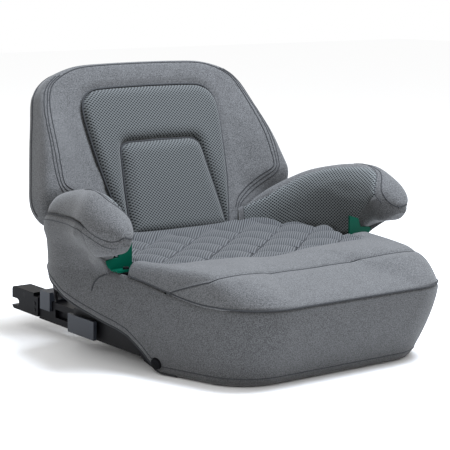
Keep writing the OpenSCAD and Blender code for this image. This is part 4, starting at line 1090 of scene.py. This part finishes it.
def build_centre():
    ring = BAND[:, 2:4]
    mid = np.array([0.0, CENTRE_TOP * CENTRE_MID])
    shares = spans([1, 0.8, 0.04], [14, 16])
    m, n = len(shares), len(ring)
    flat, heights = [], []
    for s in shares:
        for p in ring:
            d = np.linalg.norm(p - mid) * (1 - s)
            flat.append(tuple(mid + (p - mid) * s))
            heights.append(mix(EDGE_W, CENTRE_CROWN, rounded(d / CENTRE_CROWN_RUN)))
    flat.append(tuple(mid))
    heights.append(CENTRE_CROWN)
    faces = grid_faces(m, n, close_n=True, flip=True) + fan((m - 1) * n, n, m * n)
    mesh_pad("back_mesh_centre_soft", flat, heights, faces, "back_mesh_centre")


build_surround()
build_centre()

# Seams and stitching; the near-black seam tubes are partly thread and partly painted shade of the gaps along
# the seams
SEAM_R, NEAR_R, STITCH_R, PIPING_R, BINDING_R = 0.9, 0.8, 0.5, 1.3, 1.5
HEM_R, CAP_R, QUILT_R, FACE_R, WELT_R = 0.55, 0.75, 0.6, 0.7, 0.6
# How far threads stand off their surface
LOW_LIFT, LIFT, CAP_LIFT, PIPING_LIFT = 0.1, 0.2, 0.3, 0.6
EDGE_INSET, EDGE_LIFT, BOLSTER_SINK = 1.4, 0.2, 1.4
HEM_STITCH, BINDING_AT, BINDING_COUNT = 9.0, 0.6, 98
CAP_STITCH, CAP_STITCH_SPAN, CAP_END = 7, (1.2, 9.6), 10
STRIP_AT, STRIP_ARC = 12.5, (100, 250)
skirt_tree = surface_of(skirt)
# The seam round the skirt's top is partly thread and partly painted shade of the gap between skirt and
# bolster.
edge = []
for s in pad_stops:
    q = outline_right(1, EDGE_INSET, abs(s))
    edge.append([q[0] if s >= 0 else -q[0], q[1], seam(q) + EDGE_LIFT])
seams_base.add(edge, SEAM_R)
seams_base.add([pad_point(s, bolster_end(s)) - [0, 0, BOLSTER_SINK] for s in bolster_stops], SEAM_R)


def skirt_row(cut):
    """Line on the skirt at a distance above its lower edge."""
    line = []
    for g in skirt_grid:
        k = cut / (g[-1][2] - g[0][2]) * (len(g) - 1)
        i = int(min(len(g) - 2, k))
        line.append(mix(g[i], g[i + 1], k - i))
    return line


def softened(line, width=5):
    """A line with its corners eased."""
    line = np.array(line, float)
    pad = np.concatenate([np.repeat(line[:1], width, 0), line, np.repeat(line[-1:], width, 0)])
    w = np.hanning(2 * width + 3)[1:-1]
    return np.stack([np.convolve(pad[:, k], w / w.sum(), "valid") for k in range(3)], 1)


stitches_base.add(laid(skirt_tree, skirt_row(HEM_STITCH), LOW_LIFT), HEM_R)
# Short seam below each belt guide
DART = [(193.6, -10.9, 86), (192.7, -14.5, 95), (191.2, -20.5, 101), (189.3, -28, 105), (188.6, -34, 107.5)]
binding = skirt_row(BINDING_AT)
for half in (binding[:BINDING_COUNT], binding[-BINDING_COUNT:]):
    seams_base.add(half, BINDING_R)
for side in (LEFT, RIGHT):
    tree = surface_of(sleeves[side], skirt)
    cap = [arm_point(t, cap_angle(t)) for t in np.linspace(0, CAP_END, 140)]
    cap = [*np.linspace(INNER_SEAM[-1], cap[0], 6)[:-1], *cap]
    seams_base.add(laid(tree, softened(sided(cap, side)), CAP_LIFT), CAP_R)
    stops = np.linspace(*CAP_STITCH_SPAN, 150)
    below = [arm_wall(t, arm_point(t, cap_angle(t))[2] - CAP_STITCH) for t in stops]
    stitches_base.add(laid(tree, softened(sided(below, side)), LOW_LIFT), STITCH_R)
    seams_base.add(laid(skirt_tree, sided(smooth_line(DART, 40), side), LOW_LIFT), NEAR_R)
    sleeve_tree = surface_of(sleeves[side])
    seams_base.add(laid(sleeve_tree, sided(smooth_line(INNER_SEAM, 130), side), LIFT), NEAR_R)
    stitches_base.add(laid(sleeve_tree, sided(smooth_line(MESH_STITCH, 90), side), LOW_LIFT), STITCH_R)
    strip = [arm_point(STRIP_AT, a) for a in np.linspace(*STRIP_ARC, 30)]
    stitches_base.add(laid(sleeve_tree, sided(strip, side), LOW_LIFT), STITCH_R)

# Quilting stitches along the valleys, dark so that they also paint the shade in the valleys
QUILT_MARGIN, QUILT_REAR_MARGIN, QUILT_WIDEST, QUILT_LINES, SHORTEST = 8, 22, 190, 5, 6
quilt_tree = surface_of(quilt)
for lean in (1, -1):
    for k in range(-QUILT_LINES, QUILT_LINES + 1):
        line = []
        for x in np.linspace(-QUILT_WIDEST, QUILT_WIDEST, 191):
            y = lean * PUFF_Y * (k - x / PUFF_X)
            inside = QUILT_MARGIN - QUILT_FRONT < y < QUILT_REAR - QUILT_REAR_MARGIN
            if inside and abs(x) < quilt_half(y) - QUILT_MARGIN:
                line.append((x, y, SEAT_Z))
        if len(line) > SHORTEST:
            stitches_base.add(laid(quilt_tree, line, LIFT), QUILT_R)

# Seams of the backrest's face, given on the right, and of its rim
FACE_SEAM = [
    (0, 221.5), (50, 221), (85, 218.5), (104, 214.5), (121, 206), (135, 195), (143, 178), (148, 158),
    (153, 125), (156, 92), (156.5, 73), (151, 65), (135, 58), (115, 47), (100, 36), (92, 24)]
INNER_WELT = [
    (121, 210), (139, 196), (147, 178), (154.5, 155), (159, 124), (161.5, 95), (161.5, 75), (159.5, 67),
    (154, 61), (138, 54), (118, 43.5), (102, 32), (95, 22)]
OUTER_WELT = [
    (128, 211), (146, 194), (155.5, 172), (160.5, 150), (163.5, 123), (166, 96), (165.5, 74), (162.5, 63),
    (156, 56.5), (141, 49.5), (121, 40), (104, 29), (98, 20)]
RIM_FROM, RIM_DEPTH, FACE_LIFT = 40, 7, 6
back_tree = surface_of(back_pad)
for points, r in ((FACE_SEAM, FACE_R), (INNER_WELT, WELT_R), (OUTER_WELT, WELT_R)):
    for side in (RIGHT, LEFT):
        flat = smooth_line(points, 90) * [side, 1]
        line = [back_place(x, h, FACE_LIFT + wing_front(x, h)) for x, h in flat]
        seams_back.add(laid(back_tree, line, LOW_LIFT), r)
rim = [q for q in back_outline(BACK_POINTS) if q[1] > RIM_FROM]
for side in (RIGHT, LEFT):
    half = [q for q in rim if q[0] * side >= 0]
    half.sort(key=lambda q: math.atan2(abs(q[0]), q[1] - BACK_MID))
    line = [back_place(x, h, RIM_DEPTH - BACK_T) for x, h in half]
    seams_back.add(laid(back_tree, line, LIFT), FACE_R)
# Piping along both edges of the mesh surround; its dark tube also paints the shade of the grooves beside the
# pads.
for col in (0, 2):
    seams_back.add([back_place(r[col], r[col + 1], PIPING_LIFT) for r in BAND], PIPING_R)

seams_base.make("seams_and_shade_base", "base", SEAM_THREAD_AND_SHADE)
stitches_base.make("stitches_and_shade_base", "base", STITCH)
seams_back.make("seams_and_shade_back", "backrest", SEAM_THREAD_AND_SHADE)

# Hard parts keep their solids; small steel parts that show are blackened
BLACKENED = "head_rivets", "hook_pin", "guide_screw"
slot_of = {s["node"]: s["material_slot"] for s in frame["record"]["subparts"]}
for name, o in frame["nodes"].items():
    if slot_of.get(name) in HARD:
        o.data.materials.clear()
        o.data.materials.append(HARD["dark_steel" if name.startswith(BLACKENED) else slot_of[name]])

# Each button spring gets a live copy of its mesh on the base, in place of its solid
for word in ("left", "right"):
    node = f"button_springs_{word}"
    live = bpy.data.objects.new(f"{node}_live", frame["nodes"][node].data.copy())
    link(live)
    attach(live, "base")
    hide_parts(node)
    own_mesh(live)

# Skirt thickness, turned in from its outer face
solid = skirt.modifiers.new("thick", "SOLIDIFY")
solid.thickness = SKIRT_THICK
solid.offset = -1

# Studio
FLOOR = 6
floor_mesh = bpy.data.meshes.new("floor")
corners = [(-FLOOR, -FLOOR, 0), (FLOOR, -FLOOR, 0), (FLOOR, FLOOR, 0), (-FLOOR, FLOOR, 0)]
floor_mesh.from_pydata(corners, [], [(0, 1, 2, 3)])
floor = bpy.data.objects.new("floor", floor_mesh)
floor_mesh.materials.append(plain("floor", (0.97, 0.97, 0.97), 0.9, shine=0.0))
link(floor)
world = bpy.data.worlds.new("studio")
bpy.context.scene.world = world
world.use_nodes = True
set_inputs(world.node_tree.nodes["Background"], {"Color": (1, 1, 1, 1), "Strength": 1.0})

LIGHT_AT, LIGHT_AIM = Vector((0.2, -0.3, 1.3)), Vector((0, 0, 0.15))
light_data = bpy.data.lights.new("overhead", "AREA")
light_data.shape = "DISK"
light_data.size = 0.8
light_data.energy = 46
light_data.color = (0.82, 0.89, 1.0)
light = bpy.data.objects.new("overhead", light_data)
light.location = LIGHT_AT
light.rotation_euler = (LIGHT_AIM - LIGHT_AT).to_track_quat("-Z", "Y").to_euler()
link(light)

# Camera fitted to the photograph
AZ, EL, DIST, TARGET = math.radians(-37.58), math.radians(8.9), 1.93147, Vector((0, 0.00014, 0.13912))
FOCAL_PX, PHOTO_PX, SENSOR = 1642.96, 450, 36
camera_data = bpy.data.cameras.new("camera")
camera_data.sensor_width = SENSOR
camera_data.lens = FOCAL_PX / PHOTO_PX * SENSOR
camera = bpy.data.objects.new("camera", camera_data)
toward = Vector((math.sin(AZ) * math.cos(EL), -math.cos(AZ) * math.cos(EL), math.sin(EL)))
camera.location = TARGET + toward * DIST
camera.rotation_euler = toward.to_track_quat("Z", "Y").to_euler()
link(camera)
bpy.context.scene.camera = camera
bpy.context.scene.view_settings.view_transform = "Standard"
